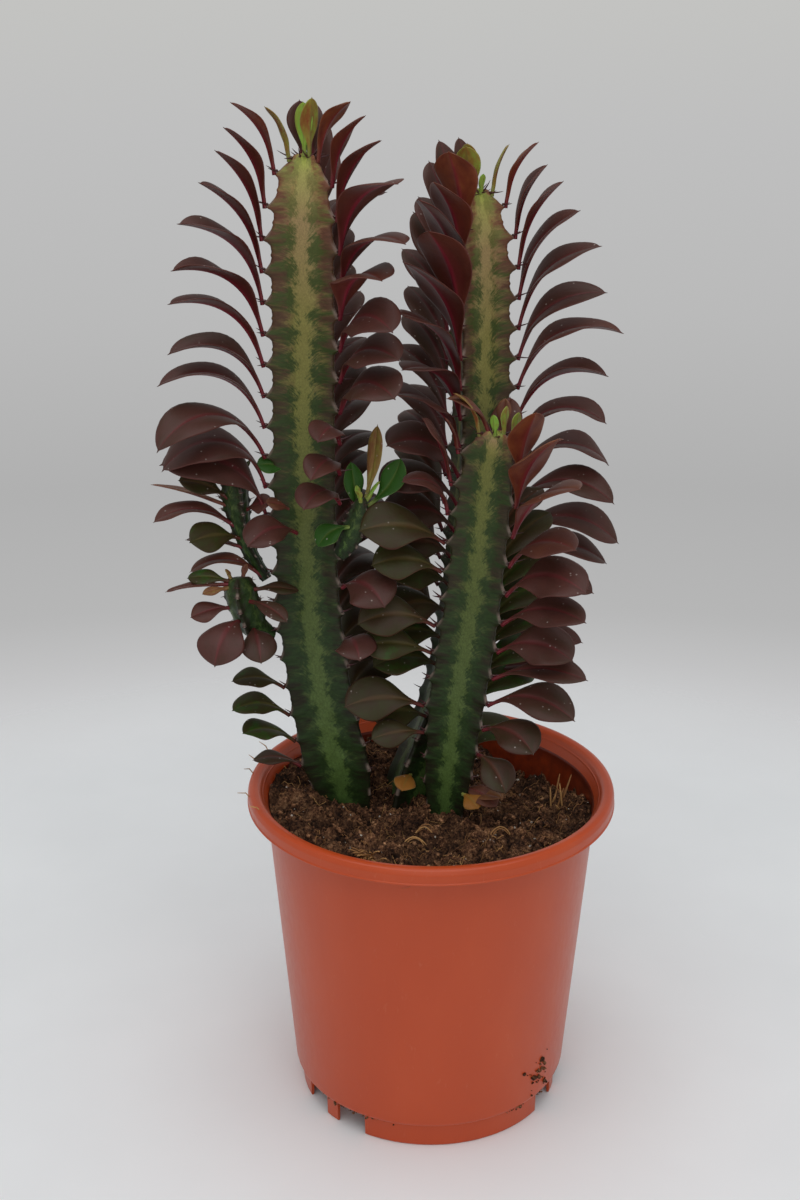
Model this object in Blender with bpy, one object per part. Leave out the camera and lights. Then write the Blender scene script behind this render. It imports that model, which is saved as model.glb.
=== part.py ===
"""Potted three-ribbed succulent spurge: a nursery pot, its soil, three stems, their side shoots and leaves.

Metres, +Z up. The pot stands on Z = 0, and the leaves' greatest spread is centred on the origin.
The tall stem stands at the left (-X), the short stem in front (-Y) of the middle one.
"""

import math
import random

import bmesh
import bpy
from mathutils import Vector

MM = 0.001

# Frame: where the pot's axis stands, so that the whole plant is centred on the origin
POT_AXIS = Vector((16.88 * MM, 0.0, 0.0))
CLEARANCE = 0.3 * MM

# Pot: 17 cm injection-moulded nursery pot with a rolled lip and a notched foot ring
POT_HEIGHT = 156.7 * MM
LIP_RADIUS = 85.0 * MM
LIP_HEIGHT = 7.5 * MM
MOUTH_RADIUS = 78.9 * MM
WALL = 1.2 * MM
WALL_TOP_RADIUS = 76.4 * MM
WALL_BOTTOM_RADIUS = 65.2 * MM
FOOT_RADIUS = 62.0 * MM
FOOT_HEIGHT = 12.7 * MM
FLOOR_Z = 9.5 * MM
POT_SIDES = 48
NOTCH_GROUPS = 3
NOTCH_GROUP_START = math.radians(72.0)
NOTCH_WIDTH = math.radians(15.0)
NOTCH_INSIDE = 54.0 * MM
NOTCH_OUTSIDE = FOOT_RADIUS + 1.2 * MM
NOTCH_START_Z = -2.0 * MM
NOTCH_RISE = 1.4 * MM
SMALL_FOOT_WIDTH = math.radians(7.0)

# Soil
SOIL_LEVEL = 145.0 * MM
SOIL_RINGS = 8
SOIL_SIDES = 36
SOIL_GAP = 0.5 * MM
LEFT_HEAP = 5.0 * MM
BACK_SINK = 13.0 * MM
LUMP_HEIGHT = 1.4 * MM
SINK_PLACE = (48.0 * MM, 42.0 * MM)
SINK_REACH = (30.0 * MM, 34.0 * MM)
FOOT_TAPER = 1.6 * MM
SHOULDER = 2.4 * MM
WALL_START = 2.0 * MM
POCKET_GAP = CLEARANCE + 0.1 * MM
POCKET_DEPTH = 60 * MM
POCKET_FOOT = 121 * MM

# Stems: teeth stand at one pitch along every rib, a third of a pitch apart from rib to rib
TOOTH_PITCH = 13.2 * MM
FIRST_TOOTH = 7.0 * MM
CROWN_DEPTH = 2.0 * MM
TOOTH_DEPTH = 4.0 * MM
RINGS_PER_PITCH = 3
AXIS_SAMPLE = 2.0 * MM
RIB_FLANK = math.radians(11.0)
FLANK_SHARE = 0.72
FACE_SHARE = 0.50
BARE_BASE = 40 * MM

LEAF_THICKNESS = 1.3 * MM
PETIOLE_RADIUS = 0.9 * MM
AZIMUTH_SPREAD = 3.0
LIGHT = Vector((0.0, -1.0, 0.35)).normalized()


def clear_scene():
    for item in list(bpy.data.objects):
        bpy.data.objects.remove(item, do_unlink=True)


def make_material(name, colour, roughness, metallic=0.0):
    material = bpy.data.materials.new(name)
    material.use_nodes = True
    surface = material.node_tree.nodes["Principled BSDF"]
    surface.inputs["Base Color"].default_value = (*colour, 1.0)
    surface.inputs["Roughness"].default_value = roughness
    surface.inputs["Metallic"].default_value = metallic
    return material


def make_object(name, bm, material, parent, smooth_angle=40.0):
    bmesh.ops.recalc_face_normals(bm, faces=bm.faces)
    mesh = bpy.data.meshes.new(name)
    bm.to_mesh(mesh)
    bm.free()
    mesh.materials.append(material)
    mesh.shade_smooth()
    mesh.set_sharp_from_angle(angle=math.radians(smooth_angle))
    item = bpy.data.objects.new(name, mesh)
    bpy.context.scene.collection.objects.link(item)
    item.parent = parent
    return item


def loft(bm, rings, cap_ends=True):
    """Joins rings of equal count into a closed tube; a ring of one point becomes a tip."""
    loops = [[bm.verts.new(point) for point in ring] for ring in rings]
    for lower, upper in zip(loops, loops[1:]):
        count = max(len(lower), len(upper))
        for i in range(count):
            j = (i + 1) % count
            corners = [lower[i % len(lower)], lower[j % len(lower)]]
            corners += [upper[j % len(upper)], upper[i % len(upper)]]
            bm.faces.new(list(dict.fromkeys(corners)))
    if cap_ends:
        for loop in (loops[0], loops[-1]):
            if len(loop) > 2:
                bm.faces.new(loop)


def smoothstep(t):
    t = min(max(t, 0.0), 1.0)
    return t * t * (3.0 - 2.0 * t)


def read_curve(points, t):
    """Catmull-Rom curve through the points, t from 0 to 1 along their count."""
    spans = len(points) - 1
    place = min(max(t, 0.0), 1.0) * spans
    i = min(int(place), spans - 1)
    u = place - i
    p0, p1, p2, p3 = (points[min(max(i + k, 0), spans)] for k in (-1, 0, 1, 2))
    bend = (2 * p0 - 5 * p1 + 4 * p2 - p3) * u**2 + (3 * p1 - p0 - 3 * p2 + p3) * u**3
    return 0.5 * (2 * p1 + (p2 - p0) * u + bend)


def read_keys(keys, t):
    """Straight-line reading of rows (t, value, value, ...) ordered by t."""
    if t <= keys[0][0]:
        return keys[0][1:]
    for low, high in zip(keys, keys[1:]):
        if t <= high[0]:
            share = (t - low[0]) / (high[0] - low[0])
            return [a + (b - a) * share for a, b in zip(low[1:], high[1:])]
    return keys[-1][1:]


class Stem:
    """A ribbed stem: its axis runs down from the growing tip, and depth is the length below that tip."""

    def __init__(self, name, axis, ribs, radii,
                 first_tooth=FIRST_TOOTH, pitch=TOOTH_PITCH, tooth=TOOTH_DEPTH):
        self.name = name
        self.first_tooth = first_tooth
        self.pitch = pitch
        self.tooth = tooth
        self.rib_names = list(ribs)
        self.ribs = [math.radians(angle) for angle in ribs.values()]
        self.radii = radii
        points = [Vector(p) * MM for p in axis]
        self.line = [read_curve(points, k / 200) for k in range(201)]
        self.depths = [0.0]
        for a, b in zip(self.line, self.line[1:]):
            self.depths.append(self.depths[-1] + (b - a).length)
        self.length = self.depths[-1]

    def centre(self, depth):
        for k in range(1, len(self.line)):
            if self.depths[k] >= depth:
                share = (depth - self.depths[k - 1]) / (self.depths[k] - self.depths[k - 1])
                return self.line[k - 1].lerp(self.line[k], share)
        return self.line[-1].copy()

    def frame(self, depth):
        above = self.centre(max(depth - AXIS_SAMPLE, 0.0))
        below = self.centre(min(depth + AXIS_SAMPLE, self.length))
        up = (above - below).normalized()
        east = (Vector((1, 0, 0)) - up * up.x).normalized()
        return up, east, up.cross(east)

    def outward(self, depth, angle):
        _, east, north = self.frame(depth)
        return east * math.cos(angle) + north * math.sin(angle)

    def tooth_lift(self, depth, rib):
        """1 at a tooth's tip and 0 in the hollow between two teeth."""
        phase = (depth - self.first_tooth) / self.pitch - rib / 3.0
        away = abs(phase - round(phase))
        return max(0.0, 1.0 - 3.0 * away)

    def rib_radius(self, depth, rib, grow=0.0):
        radius, tooth_share = read_keys(self.radii, depth / self.length)
        return radius * MM + self.tooth * tooth_share * self.tooth_lift(depth, rib) + grow

    def ring(self, depth, grow=0.0):
        """Twelve points: each rib's edge with its two flanks, and the middle of each face."""
        centre = self.centre(depth)
        valley = read_keys(self.radii, depth / self.length)[0] * MM + grow
        points = []
        for rib, angle in enumerate(self.ribs):
            edge = self.outward(depth, angle) * self.rib_radius(depth, rib, grow)
            points.append(centre + self.outward(depth, angle - RIB_FLANK) * valley * FLANK_SHARE)
            points.append(centre + edge)
            points.append(centre + self.outward(depth, angle + RIB_FLANK) * valley * FLANK_SHARE)
            points.append(centre + self.outward(depth, angle + math.radians(60.0)) * valley * FACE_SHARE)
        return points

    def teeth_depths(self, rib, last_depth):
        """Depths of a rib's leaf-bearing teeth; tooth 0 sits on the growing tip itself."""
        depths = [CROWN_DEPTH]
        depth = self.first_tooth + rib / 3.0 * self.pitch
        while depth < last_depth:
            depths.append(depth)
            depth += self.pitch
        return depths

    def solid(self, bm, top=0.0, bottom=None, grow=0.0):
        step = self.pitch / RINGS_PER_PITCH
        bottom = bottom or self.length
        rings = [self.ring(top, grow)]
        if top == 0.0:
            top = CROWN_DEPTH
            rings.append(self.ring(top, grow))
        depth = self.first_tooth + math.ceil((top + 1.0 * MM - self.first_tooth) / step) * step
        while depth < bottom - 1.0 * MM:
            rings.append(self.ring(depth, grow))
            depth += step
        rings.append(self.ring(bottom, grow))
        loft(bm, rings)


# Axis points from tip to root (mm from the pot's axis), rib directions (degrees from +X),
# and rows of (share of the length, rib radius in mm, share of the full tooth depth)
TALL = Stem(
    "stem_tall",
    [(-52.6, 2, 438), (-52.6, 2, 400), (-53.0, 2, 360), (-53.6, 2, 315), (-53.6, 3, 275),
     (-52.4, 3, 240), (-48.5, 3, 205), (-42.5, 4, 172), (-38.0, 5, 145), (-36.5, 6, 120)],
    {"left": 195, "front": 315, "back": 75},
    [(0.0, 5.0, 0.4), (0.012, 8.2, 0.7), (0.03, 11.0, 0.9), (0.06, 13.2, 1.0), (0.11, 15.2, 1.0),
     (0.55, 15.6, 0.9), (0.72, 16.6, 0.55),
     (0.86, 18.0, 0.35), (0.93, 13.0, 0.0), (1.0, 10.0, 0.0)],
)
MIDDLE = Stem(
    "stem_middle",
    [(18.2, 27, 421), (18.4, 27, 390), (18.9, 27, 350), (19.0, 27, 310), (17.6, 27, 270),
     (14.4, 25, 232), (7.6, 21, 195), (-3.0, 16, 165), (-10.5, 12, 143), (-14.0, 10, 118)],
    {"right": 8, "back": 128, "front": 248},
    [(0.0, 4.8, 0.4), (0.013, 8.0, 0.7), (0.035, 10.8, 0.9), (0.07, 13.2, 1.0), (0.12, 14.8, 1.0),
     (0.55, 15.2, 0.9), (0.80, 14.0, 0.4),
     (0.90, 10.0, 0.1), (1.0, 8.0, 0.0)],
)
SHORT = Stem(
    "stem_short",
    [(27.0, -15, 326), (24.8, -15, 313), (22.9, -14.5, 292), (21.4, -14, 275), (19.2, -13, 250),
     (15.6, -11, 221), (12.8, -9.5, 200), (10.8, -8, 178), (9.0, -6, 160), (8.0, -4.5, 145), (7.0, -3, 118)],
    {"left": 190, "front": 310, "back": 70},
    [(0.0, 4.4, 0.4), (0.02, 7.0, 0.7), (0.05, 9.4, 0.9), (0.12, 11.4, 1.0), (0.3, 13.4, 0.9),
     (0.6, 14.2, 0.7),
     (0.78, 12.2, 0.4), (0.88, 9.5, 0.1), (1.0, 7.0, 0.0)],
    first_tooth=10.0 * MM,
)
STEMS = (TALL, MIDDLE, SHORT)

# Side shoots of the tall stem, each rooted at a tooth and with its own small ribs and closer teeth
SHOOTS = (
    Stem(
        "side_shoot_left",
        [(-85.0, -11.0, 259), (-84.4, -10.5, 251), (-82.4, -8.5, 242), (-79.2, -5.5, 234.5),
         (-71.2, -2.8, 229.1)],
        {"left": 150, "front": 270, "back": 30},
        [(0.0, 5.0, 0.4), (0.12, 7.6, 0.7), (0.6, 7.6, 0.6), (0.85, 5.0, 0.3), (1.0, 3.2, 0.0)],
        first_tooth=3.0 * MM, pitch=6.4 * MM, tooth=2.0 * MM,
    ),
    Stem(
        "side_shoot_upper_left",
        [(-86.0, 3, 301), (-85.6, 3, 292), (-84.0, 2.5, 280.5), (-80.5, 1.5, 268.5), (-72.9, -1.7, 256.4)],
        {"left": 170, "front": 290, "back": 50},
        [(0.0, 4.2, 0.5), (0.1, 5.8, 1.0), (0.3, 5.4, 0.9), (0.6, 3.8, 0.6), (1.0, 2.6, 0.2)],
        first_tooth=3.0 * MM, pitch=5.4 * MM, tooth=2.0 * MM,
    ),
    Stem(
        "side_shoot_green",
        [(-30.4, -12.6, 296), (-30.8, -12.7, 291), (-32.0, -12.8, 286), (-35.4, -12.4, 278.5),
         (-40.2, -10.3, 270.3)],
        {"left": 180, "front": 300, "back": 60},
        [(0.0, 2.6, 0.4), (0.2, 4.4, 0.8), (0.6, 5.0, 0.6), (1.0, 3.0, 0.0)],
        first_tooth=2.5 * MM, pitch=5.0 * MM, tooth=1.8 * MM,
    ),
)

# Leaves: stem, rib, the teeth that carry a leaf, and the rib's habit from the tip downward as rows of
# (tooth, length, width, first elevation, last elevation, turn to the light, swing), mm and degrees
LEAF_RIBS = (
    (TALL, "left", (*range(13), 18, 19, 20, 21), [
        (0, 26, 10, 86, 50, 0, 12), (1, 36, 13, 86, 36, 0, 5), (2, 39, 14, 88, 44, 0, 5),
        (3, 45, 16, 87, 38, 0, 5), (4, 48, 18, 84, 22, 0, 5), (5, 57, 19, 84, 2, 0, 5),
        (6, 53, 20, 80, -8, 0, 5), (7, 60, 21, 78, 0, 2, 5), (8, 53, 21, 76, -30, 2, 5),
        (9, 61, 21, 76, -22, 6, 5), (10, 63, 23, 70, -52, 18, 4), (11, 64, 25, 78, -42, 36, 6),
        (12, 62, 26, 78, -28, 44, 6), (18, 27, 13, 44, -2, 30, 0), (19, 31, 14, 44, -4, 26, 0),
        (20, 29, 13, 46, -2, 24, 0), (21, 24, 11, 40, -6, 24, 0)]),
    (TALL, "front", (0, 2, 4, 6, 8, 10, 14, 16), [
        (0, 30, 13, 84, 30, 2, 8), (1, 34, 15, 86, 32, 2, 8), (2, 41, 16, 86, 26, 2, 8),
        (3, 50, 22, 82, 0, 4, 6), (4, 48, 22, 76, -20, 6, 2), (5, 42, 27, 80, -14, 6, -6),
        (6, 44, 25, 74, -24, 34, 2), (7, 41, 25, 70, -26, 36, 0), (8, 43, 25, 69, -31, 37, -2),
        (9, 31, 16, 62, -40, 20, -66), (10, 30, 15, 60, -36, 20, -70), (11, 32, 18, 56, -46, 20, -76),
        (14, 30, 24, 40, -40, 50, 10), (16, 26, 20, 40, -50, 30, -20)]),
    (MIDDLE, "right", tuple(range(13)), [
        (0, 22, 8, 88, 54, 0, -14), (1, 31, 12, 87, 44, 0, -12), (2, 36, 15, 88, 50, 0, -12),
        (3, 42, 17, 87, 42, 0, -14), (4, 47, 18, 85, 26, 0, -14), (5, 56, 20, 82, 2, 2, -14),
        (6, 57, 21, 78, -10, 4, -14), (7, 58, 21, 76, -13, 6, -15), (8, 51, 22, 72, -24, 8, -16),
        (9, 53, 22, 70, -36, 12, -16), (10, 52, 22, 60, -48, 16, -17), (12, 55, 22, 36, -40, 22, -18)]),
    (MIDDLE, "front", (1, 4, 7), [
        (0, 24, 12, 88, 62, 4, -6), (1, 41, 19, 86, 42, 4, -12), (2, 45, 21, 86, 36, 4, -14),
        (3, 55, 23, 85, 33, 4, -24), (4, 56, 25, 84, 30, 4, -12), (5, 55, 25, 82, 20, 6, -24),
        (7, 52, 26, 78, 2, 10, -28), (9, 48, 25, 68, -14, 24, -38)]),
    (SHORT, "front", (*range(8), 9), [
        (0, 16, 7, 88, 74, 4, 20), (1, 32, 17, 87, 52, 4, 8), (2, 40, 24, 80, 32, 6, 10),
        (3, 43, 25, 72, 14, 8, 12), (4, 42, 22, 60, -18, 26, 14), (5, 44, 23, 54, -20, 38, 16),
        (6, 46, 20, 44, -10, 40, 16), (7, 42, 22, 40, -26, 46, 18), (9, 46, 24, 34, -44, 50, 20)]),
)
BLADE_ROWS = (0.0, 0.1, 0.25, 0.42, 0.6, 0.76, 0.9, 1.0)


def blade_share(t):
    """Half-width of a leaf along its length: a stalk, an egg-shaped blade and a short point."""
    if t < 0.62:
        return 0.09 + 0.91 * smoothstep((t - 0.06) / 0.56)
    return max(0.0, 1.0 - ((t - 0.62) / 0.38) ** 2.3) ** 0.75


def leaf_solid(bm, root, azimuth, length, width, rise, droop, turn):
    """A thin blade that leaves its tooth steeply, arches outward and turns its upper side to the light."""
    heading = Vector((math.cos(azimuth), math.sin(azimuth), 0.0))
    place = root.copy()
    rings = []
    last = 0.0
    for t in BLADE_ROWS:
        middle = 0.5 * (t + last)
        slope = math.radians(rise + (droop - rise) * (0.45 * middle + 0.55 * smoothstep(middle)))
        place = place + (heading * math.cos(slope) + Vector((0, 0, math.sin(slope)))) * length * (t - last)
        last = t
        slope = math.radians(rise + (droop - rise) * (0.45 * t + 0.55 * smoothstep(t)))
        along = heading * math.cos(slope) + Vector((0, 0, math.sin(slope)))
        above = Vector((0, 0, math.cos(slope))) - heading * math.sin(slope)
        lit = (LIGHT - along * LIGHT.dot(along)).normalized()
        weight = math.radians(turn) * smoothstep(t / 0.5)
        above = (above * math.cos(weight) + lit * math.sin(weight)).normalized()
        side = along.cross(above)
        half = max(0.5 * width * blade_share(t), PETIOLE_RADIUS)
        thick = 0.5 * LEAF_THICKNESS * (1.0 - 0.5 * t)
        if t == 1.0:
            rings.append([place])
        else:
            rings.append([place - side * half, place + above * thick,
                          place + side * half, place - above * thick])
    loft(bm, rings)
    bmesh.ops.triangulate(bm, faces=bm.faces[:])


def make_leaves(material, parent):
    draw = random.Random(7)
    for stem, rib_name, leafy, habit in LEAF_RIBS:
        rib = stem.rib_names.index(rib_name)
        depths = stem.teeth_depths(rib, stem.length - BARE_BASE)
        for number, tooth in enumerate(leafy):
            depth = depths[tooth]
            length, width, rise, droop, turn, swing = read_keys(habit, tooth)
            azimuth = stem.ribs[rib] + math.radians(swing + draw.uniform(-AZIMUTH_SPREAD, AZIMUTH_SPREAD))
            out = stem.outward(depth, stem.ribs[rib])
            tip = stem.centre(depth) + out * stem.rib_radius(depth, rib)
            steep = math.sin(math.radians(rise))
            root = tip + out * (PETIOLE_RADIUS * steep + CLEARANCE) + Vector((0, 0, CLEARANCE * steep))
            bm = bmesh.new()
            leaf_solid(bm, root, azimuth, length * MM, width * MM, rise, droop, turn)
            make_object(f"leaf_{stem.name[5:]}_{rib_name}_{number + 1:02d}", bm, material, parent)


def pot_profile():
    """Half section from the underside's centre out, up the outside, over the lip and down the inside."""
    lip_bottom = POT_HEIGHT - LIP_HEIGHT
    skirt = 1.4 * MM
    return [
        (0.0, FLOOR_Z),
        (FOOT_RADIUS - WALL - 0.3 * MM, FLOOR_Z),
        (FOOT_RADIUS - WALL, 0.0),
        (FOOT_RADIUS, 0.0),
        (FOOT_RADIUS + 0.3 * MM, FOOT_HEIGHT - 0.6 * MM),
        (WALL_BOTTOM_RADIUS - 0.6 * MM, FOOT_HEIGHT),
        (WALL_BOTTOM_RADIUS, FOOT_HEIGHT + 1.0 * MM),
        (WALL_TOP_RADIUS, lip_bottom),
        (WALL_TOP_RADIUS + 1.4 * MM, POT_HEIGHT - 3.0 * MM),
        (LIP_RADIUS - skirt - 0.4 * MM, POT_HEIGHT - 2.2 * MM),
        (LIP_RADIUS - skirt, lip_bottom),
        (LIP_RADIUS - 0.3 * MM, lip_bottom),
        (LIP_RADIUS, POT_HEIGHT - 2.6 * MM),
        (LIP_RADIUS - 0.8 * MM, POT_HEIGHT - 0.7 * MM),
        (LIP_RADIUS - 2.6 * MM, POT_HEIGHT),
        (MOUTH_RADIUS + 1.2 * MM, POT_HEIGHT - 0.3 * MM),
        (MOUTH_RADIUS, POT_HEIGHT - 1.4 * MM),
        (MOUTH_RADIUS - 1.4 * MM, POT_HEIGHT - 4.0 * MM),
        (WALL_TOP_RADIUS - WALL, lip_bottom - 1.0 * MM),
        (WALL_BOTTOM_RADIUS - WALL, FOOT_HEIGHT + WALL),
        (FOOT_RADIUS - WALL, FOOT_HEIGHT + 0.6 * MM),
        (FOOT_RADIUS - WALL - 0.3 * MM, FLOOR_Z + WALL),
        (0.0, FLOOR_Z + WALL),
    ]


def spin_profile(bm, profile, sides):
    verts = [bm.verts.new((r, 0.0, z)) for r, z in profile]
    edges = [bm.edges.new(pair) for pair in zip(verts, verts[1:])]
    bmesh.ops.spin(bm, geom=verts + edges, cent=(0, 0, 0), axis=(0, 0, 1), angle=math.tau, steps=sides)
    bmesh.ops.remove_doubles(bm, verts=bm.verts, dist=0.01 * MM)


def add_cut(item, cutter):
    cut = item.modifiers.new("cut", "BOOLEAN")
    cut.operation = "DIFFERENCE"
    cut.solver = "EXACT"
    cut.object = cutter
    cutter.hide_render = True
    cutter.display_type = "WIRE"


def make_pot(material, guide, parent):
    bm = bmesh.new()
    spin_profile(bm, pot_profile(), POT_SIDES)
    pot = make_object("pot", bm, material, parent, smooth_angle=35.0)
    bm = bmesh.new()
    for group in range(NOTCH_GROUPS):
        middle = NOTCH_GROUP_START + group * math.tau / NOTCH_GROUPS
        for side in (-1, 1):
            angle = middle + side * 0.5 * (SMALL_FOOT_WIDTH + NOTCH_WIDTH) - 0.5 * math.pi
            corners = []
            for radius, share in ((NOTCH_INSIDE, -0.5), (NOTCH_OUTSIDE, -0.5), (NOTCH_OUTSIDE, 0.0),
                                  (NOTCH_OUTSIDE, 0.5), (NOTCH_INSIDE, 0.5)):
                turn = angle + share * NOTCH_WIDTH
                corners.append(Vector((radius * math.cos(turn), radius * math.sin(turn), NOTCH_START_Z)))
            top = Vector((0, 0, FOOT_HEIGHT + NOTCH_RISE))
            loft(bm, [corners, [corner + top for corner in corners]])
    add_cut(pot, make_object("foot_notches", bm, guide, parent))


def angles(count):
    return [math.tau * k / count for k in range(count)]


def soil_height(x, y):
    """Level of the soil: heaped against the left of the pot, sunk towards the back right, and lumpy."""
    left_heap = LEFT_HEAP * smoothstep((-x - 20 * MM) / (50 * MM))
    across = (x - SINK_PLACE[0]) / SINK_REACH[0]
    back = (y - SINK_PLACE[1]) / SINK_REACH[1]
    sink = BACK_SINK * math.exp(-across**2 - back**2)
    lumps = LUMP_HEIGHT * math.sin(x * 190 + 1.0) * math.cos(y * 230 + 0.4)
    return SOIL_LEVEL + left_heap - sink + lumps


def soil_wall_radius(z):
    """Radius of the soil against the inside of the pot's wall."""
    slope = (WALL_TOP_RADIUS - WALL_BOTTOM_RADIUS) / (POT_HEIGHT - LIP_HEIGHT - FOOT_HEIGHT)
    return WALL_BOTTOM_RADIUS - WALL + slope * (z - FOOT_HEIGHT) - SOIL_GAP


def level_ring(radius, z):
    return [Vector((radius * math.cos(angle), radius * math.sin(angle), z)) for angle in angles(SOIL_SIDES)]


def make_soil(material, guide, parent):
    bm = bmesh.new()
    floor = FLOOR_Z + WALL + CLEARANCE
    foot_radius = FOOT_RADIUS - WALL - FOOT_TAPER
    shoulder = FOOT_HEIGHT + SHOULDER
    wall_start = shoulder + WALL_START
    rings = [[Vector((0, 0, floor))], level_ring(foot_radius, floor), level_ring(foot_radius, shoulder),
             level_ring(soil_wall_radius(wall_start) - SOIL_GAP, wall_start)]
    rim = []
    for angle in angles(SOIL_SIDES):
        x = WALL_TOP_RADIUS * math.cos(angle)
        y = WALL_TOP_RADIUS * math.sin(angle)
        rim.append(soil_wall_radius(soil_height(x, y) - 1.0 * MM))
    for k in range(SOIL_RINGS, 0, -1):
        ring = []
        for angle, radius in zip(angles(SOIL_SIDES), rim):
            x = radius * k / SOIL_RINGS * math.cos(angle)
            y = radius * k / SOIL_RINGS * math.sin(angle)
            ring.append(Vector((x, y, soil_height(x, y))))
        rings.append(ring)
    rings.append([Vector((0, 0, soil_height(0, 0)))])
    loft(bm, rings, cap_ends=False)
    soil = make_object("soil", bm, material, parent)
    for stem in STEMS:
        bm = bmesh.new()
        stem.solid(bm, top=stem.length - POCKET_DEPTH, bottom=stem.length, grow=POCKET_GAP)
        foot = [v for v in bm.verts if v.co.z < POCKET_FOOT]
        bmesh.ops.translate(bm, verts=foot, vec=(0, 0, -CLEARANCE))
        add_cut(soil, make_object(f"{stem.name}_pocket", bm, guide, parent))


def main():
    clear_scene()
    plant = bpy.data.objects.new("plant_place", None)
    plant.location = POT_AXIS
    bpy.context.scene.collection.objects.link(plant)
    guide = make_material("guide", (0.5, 0.5, 0.5), 0.5)
    make_pot(make_material("terracotta_plastic", (0.40, 0.075, 0.032), 0.42), guide, plant)
    make_soil(make_material("peat_soil", (0.035, 0.018, 0.010), 0.95), guide, plant)
    skin = make_material("stem_skin", (0.10, 0.16, 0.045), 0.55)
    for stem in (*STEMS, *SHOOTS):
        bm = bmesh.new()
        stem.solid(bm)
        make_object(stem.name, bm, skin, plant)
    make_leaves(make_material("wine_leaf", (0.10, 0.022, 0.028), 0.45), plant)


main()
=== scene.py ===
# %% [markdown]
# # A potted ribbed spurge with wine-red leaves
# The real thing is a succulent spurge: three toothed stems, each with three ribs, stand in peat in a moulded
# nursery pot, and every tooth along a rib carries a pair of spines and one thin leaf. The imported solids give
# the sizes. This script keeps them as its frame and grows the fine surfaces on them: the rules of growth are
# the solids' own, read at a much finer step, so that each fine piece lies on the solid that it stands for.

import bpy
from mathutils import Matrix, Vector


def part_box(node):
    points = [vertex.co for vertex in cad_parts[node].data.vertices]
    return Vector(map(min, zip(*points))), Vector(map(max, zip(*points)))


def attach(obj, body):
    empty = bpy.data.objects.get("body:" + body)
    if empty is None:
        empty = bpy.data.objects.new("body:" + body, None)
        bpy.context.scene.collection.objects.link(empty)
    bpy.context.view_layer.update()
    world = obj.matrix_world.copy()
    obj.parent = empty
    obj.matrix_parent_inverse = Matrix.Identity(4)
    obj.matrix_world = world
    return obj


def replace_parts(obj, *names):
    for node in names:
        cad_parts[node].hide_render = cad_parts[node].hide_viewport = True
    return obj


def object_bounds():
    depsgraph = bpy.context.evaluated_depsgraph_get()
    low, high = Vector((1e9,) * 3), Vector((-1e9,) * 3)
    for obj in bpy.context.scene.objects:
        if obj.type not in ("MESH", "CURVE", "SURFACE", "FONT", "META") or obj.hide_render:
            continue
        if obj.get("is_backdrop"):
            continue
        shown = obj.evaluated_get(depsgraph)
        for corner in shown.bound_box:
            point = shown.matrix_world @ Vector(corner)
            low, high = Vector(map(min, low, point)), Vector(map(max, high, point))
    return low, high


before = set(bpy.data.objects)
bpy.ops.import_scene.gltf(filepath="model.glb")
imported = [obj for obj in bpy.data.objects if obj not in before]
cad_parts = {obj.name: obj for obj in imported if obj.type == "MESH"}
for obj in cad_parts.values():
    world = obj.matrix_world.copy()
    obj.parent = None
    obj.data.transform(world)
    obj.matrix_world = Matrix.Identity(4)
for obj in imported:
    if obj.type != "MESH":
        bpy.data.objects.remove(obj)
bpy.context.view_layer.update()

# %% Modules, the seed of the vector noise, the millimetre and the pot's axis
import math
import random

import bpy
import numpy as np
from mathutils import Vector, noise

noise.seed_set(3)  # the vector noise would otherwise start from the clock and differ from run to run
MM = 0.001
pot_low, pot_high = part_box("pot")
AXIS = Vector((0.5 * (pot_low.x + pot_high.x), 0.5 * (pot_low.y + pot_high.y), 0.0))
POT_HEIGHT = pot_high.z
LIP_RADIUS = 0.5 * (pot_high.x - pot_low.x)
print("pot axis, height and lip radius, mm:", [round(v / MM, 1) for v in (*AXIS, POT_HEIGHT, LIP_RADIUS)])

# %% [markdown]
# ## The viewpoint
# The plant is seen from a little above, as when it stands on a table in front of someone. A camera could be
# aimed with a constraint, but a plain tilt is easier to read: 20.3 degrees below the horizon, with a lens
# long enough that the stems stay parallel.

# %% Camera
CAMERA_TILT = 20.3
camera = bpy.data.objects.new("camera", bpy.data.cameras.new("camera"))
camera.data.lens = 50.0
camera.data.sensor_width = 36.0
camera.location = AXIS + Vector((-14.3, -697.0, 503.5)) * MM
camera.rotation_euler = (math.radians(90.0 - CAMERA_TILT), 0.0, 0.0)
bpy.context.scene.collection.objects.link(camera)
bpy.context.scene.camera = camera
print("camera stands", round((camera.location - AXIS).length / MM), "mm from the pot's foot")

# %% [markdown]
# ## Soft studio light
# Paper behind and below, and large soft boxes, leave hardly any shadow: only a faint grey pool round the foot
# and darkness deep between the leaves. The room is drawn as a world colour that changes with height, which
# lights the plant from all sides and costs nothing. Two large lamps add the mild direction: one overhead and
# one over the viewer's shoulder. Colours are shown as they are, without a film curve.


# %% Hex colours to the linear numbers that shaders use
def linear(code):
    """An sRGB hex code as linear red, green, blue and alpha."""
    shown = [int(code[i:i + 2], 16) / 255 for i in (0, 2, 4)]
    return (*[c / 12.92 if c <= 0.04045 else ((c + 0.055) / 1.055) ** 2.4 for c in shown], 1.0)


# %% Feeding sockets, adding a node, starting a material
def feed(tree, node, inputs):
    """Gives each named socket a number, a hex colour, a node or a node's output."""
    for name, value in inputs.items():
        if isinstance(value, bpy.types.Node):
            value = next(output for output in value.outputs if output.enabled)
        if isinstance(value, bpy.types.NodeSocket):
            tree.links.new(value, node.inputs[name])
        else:
            node.inputs[name].default_value = linear(value) if isinstance(value, str) else value


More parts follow.
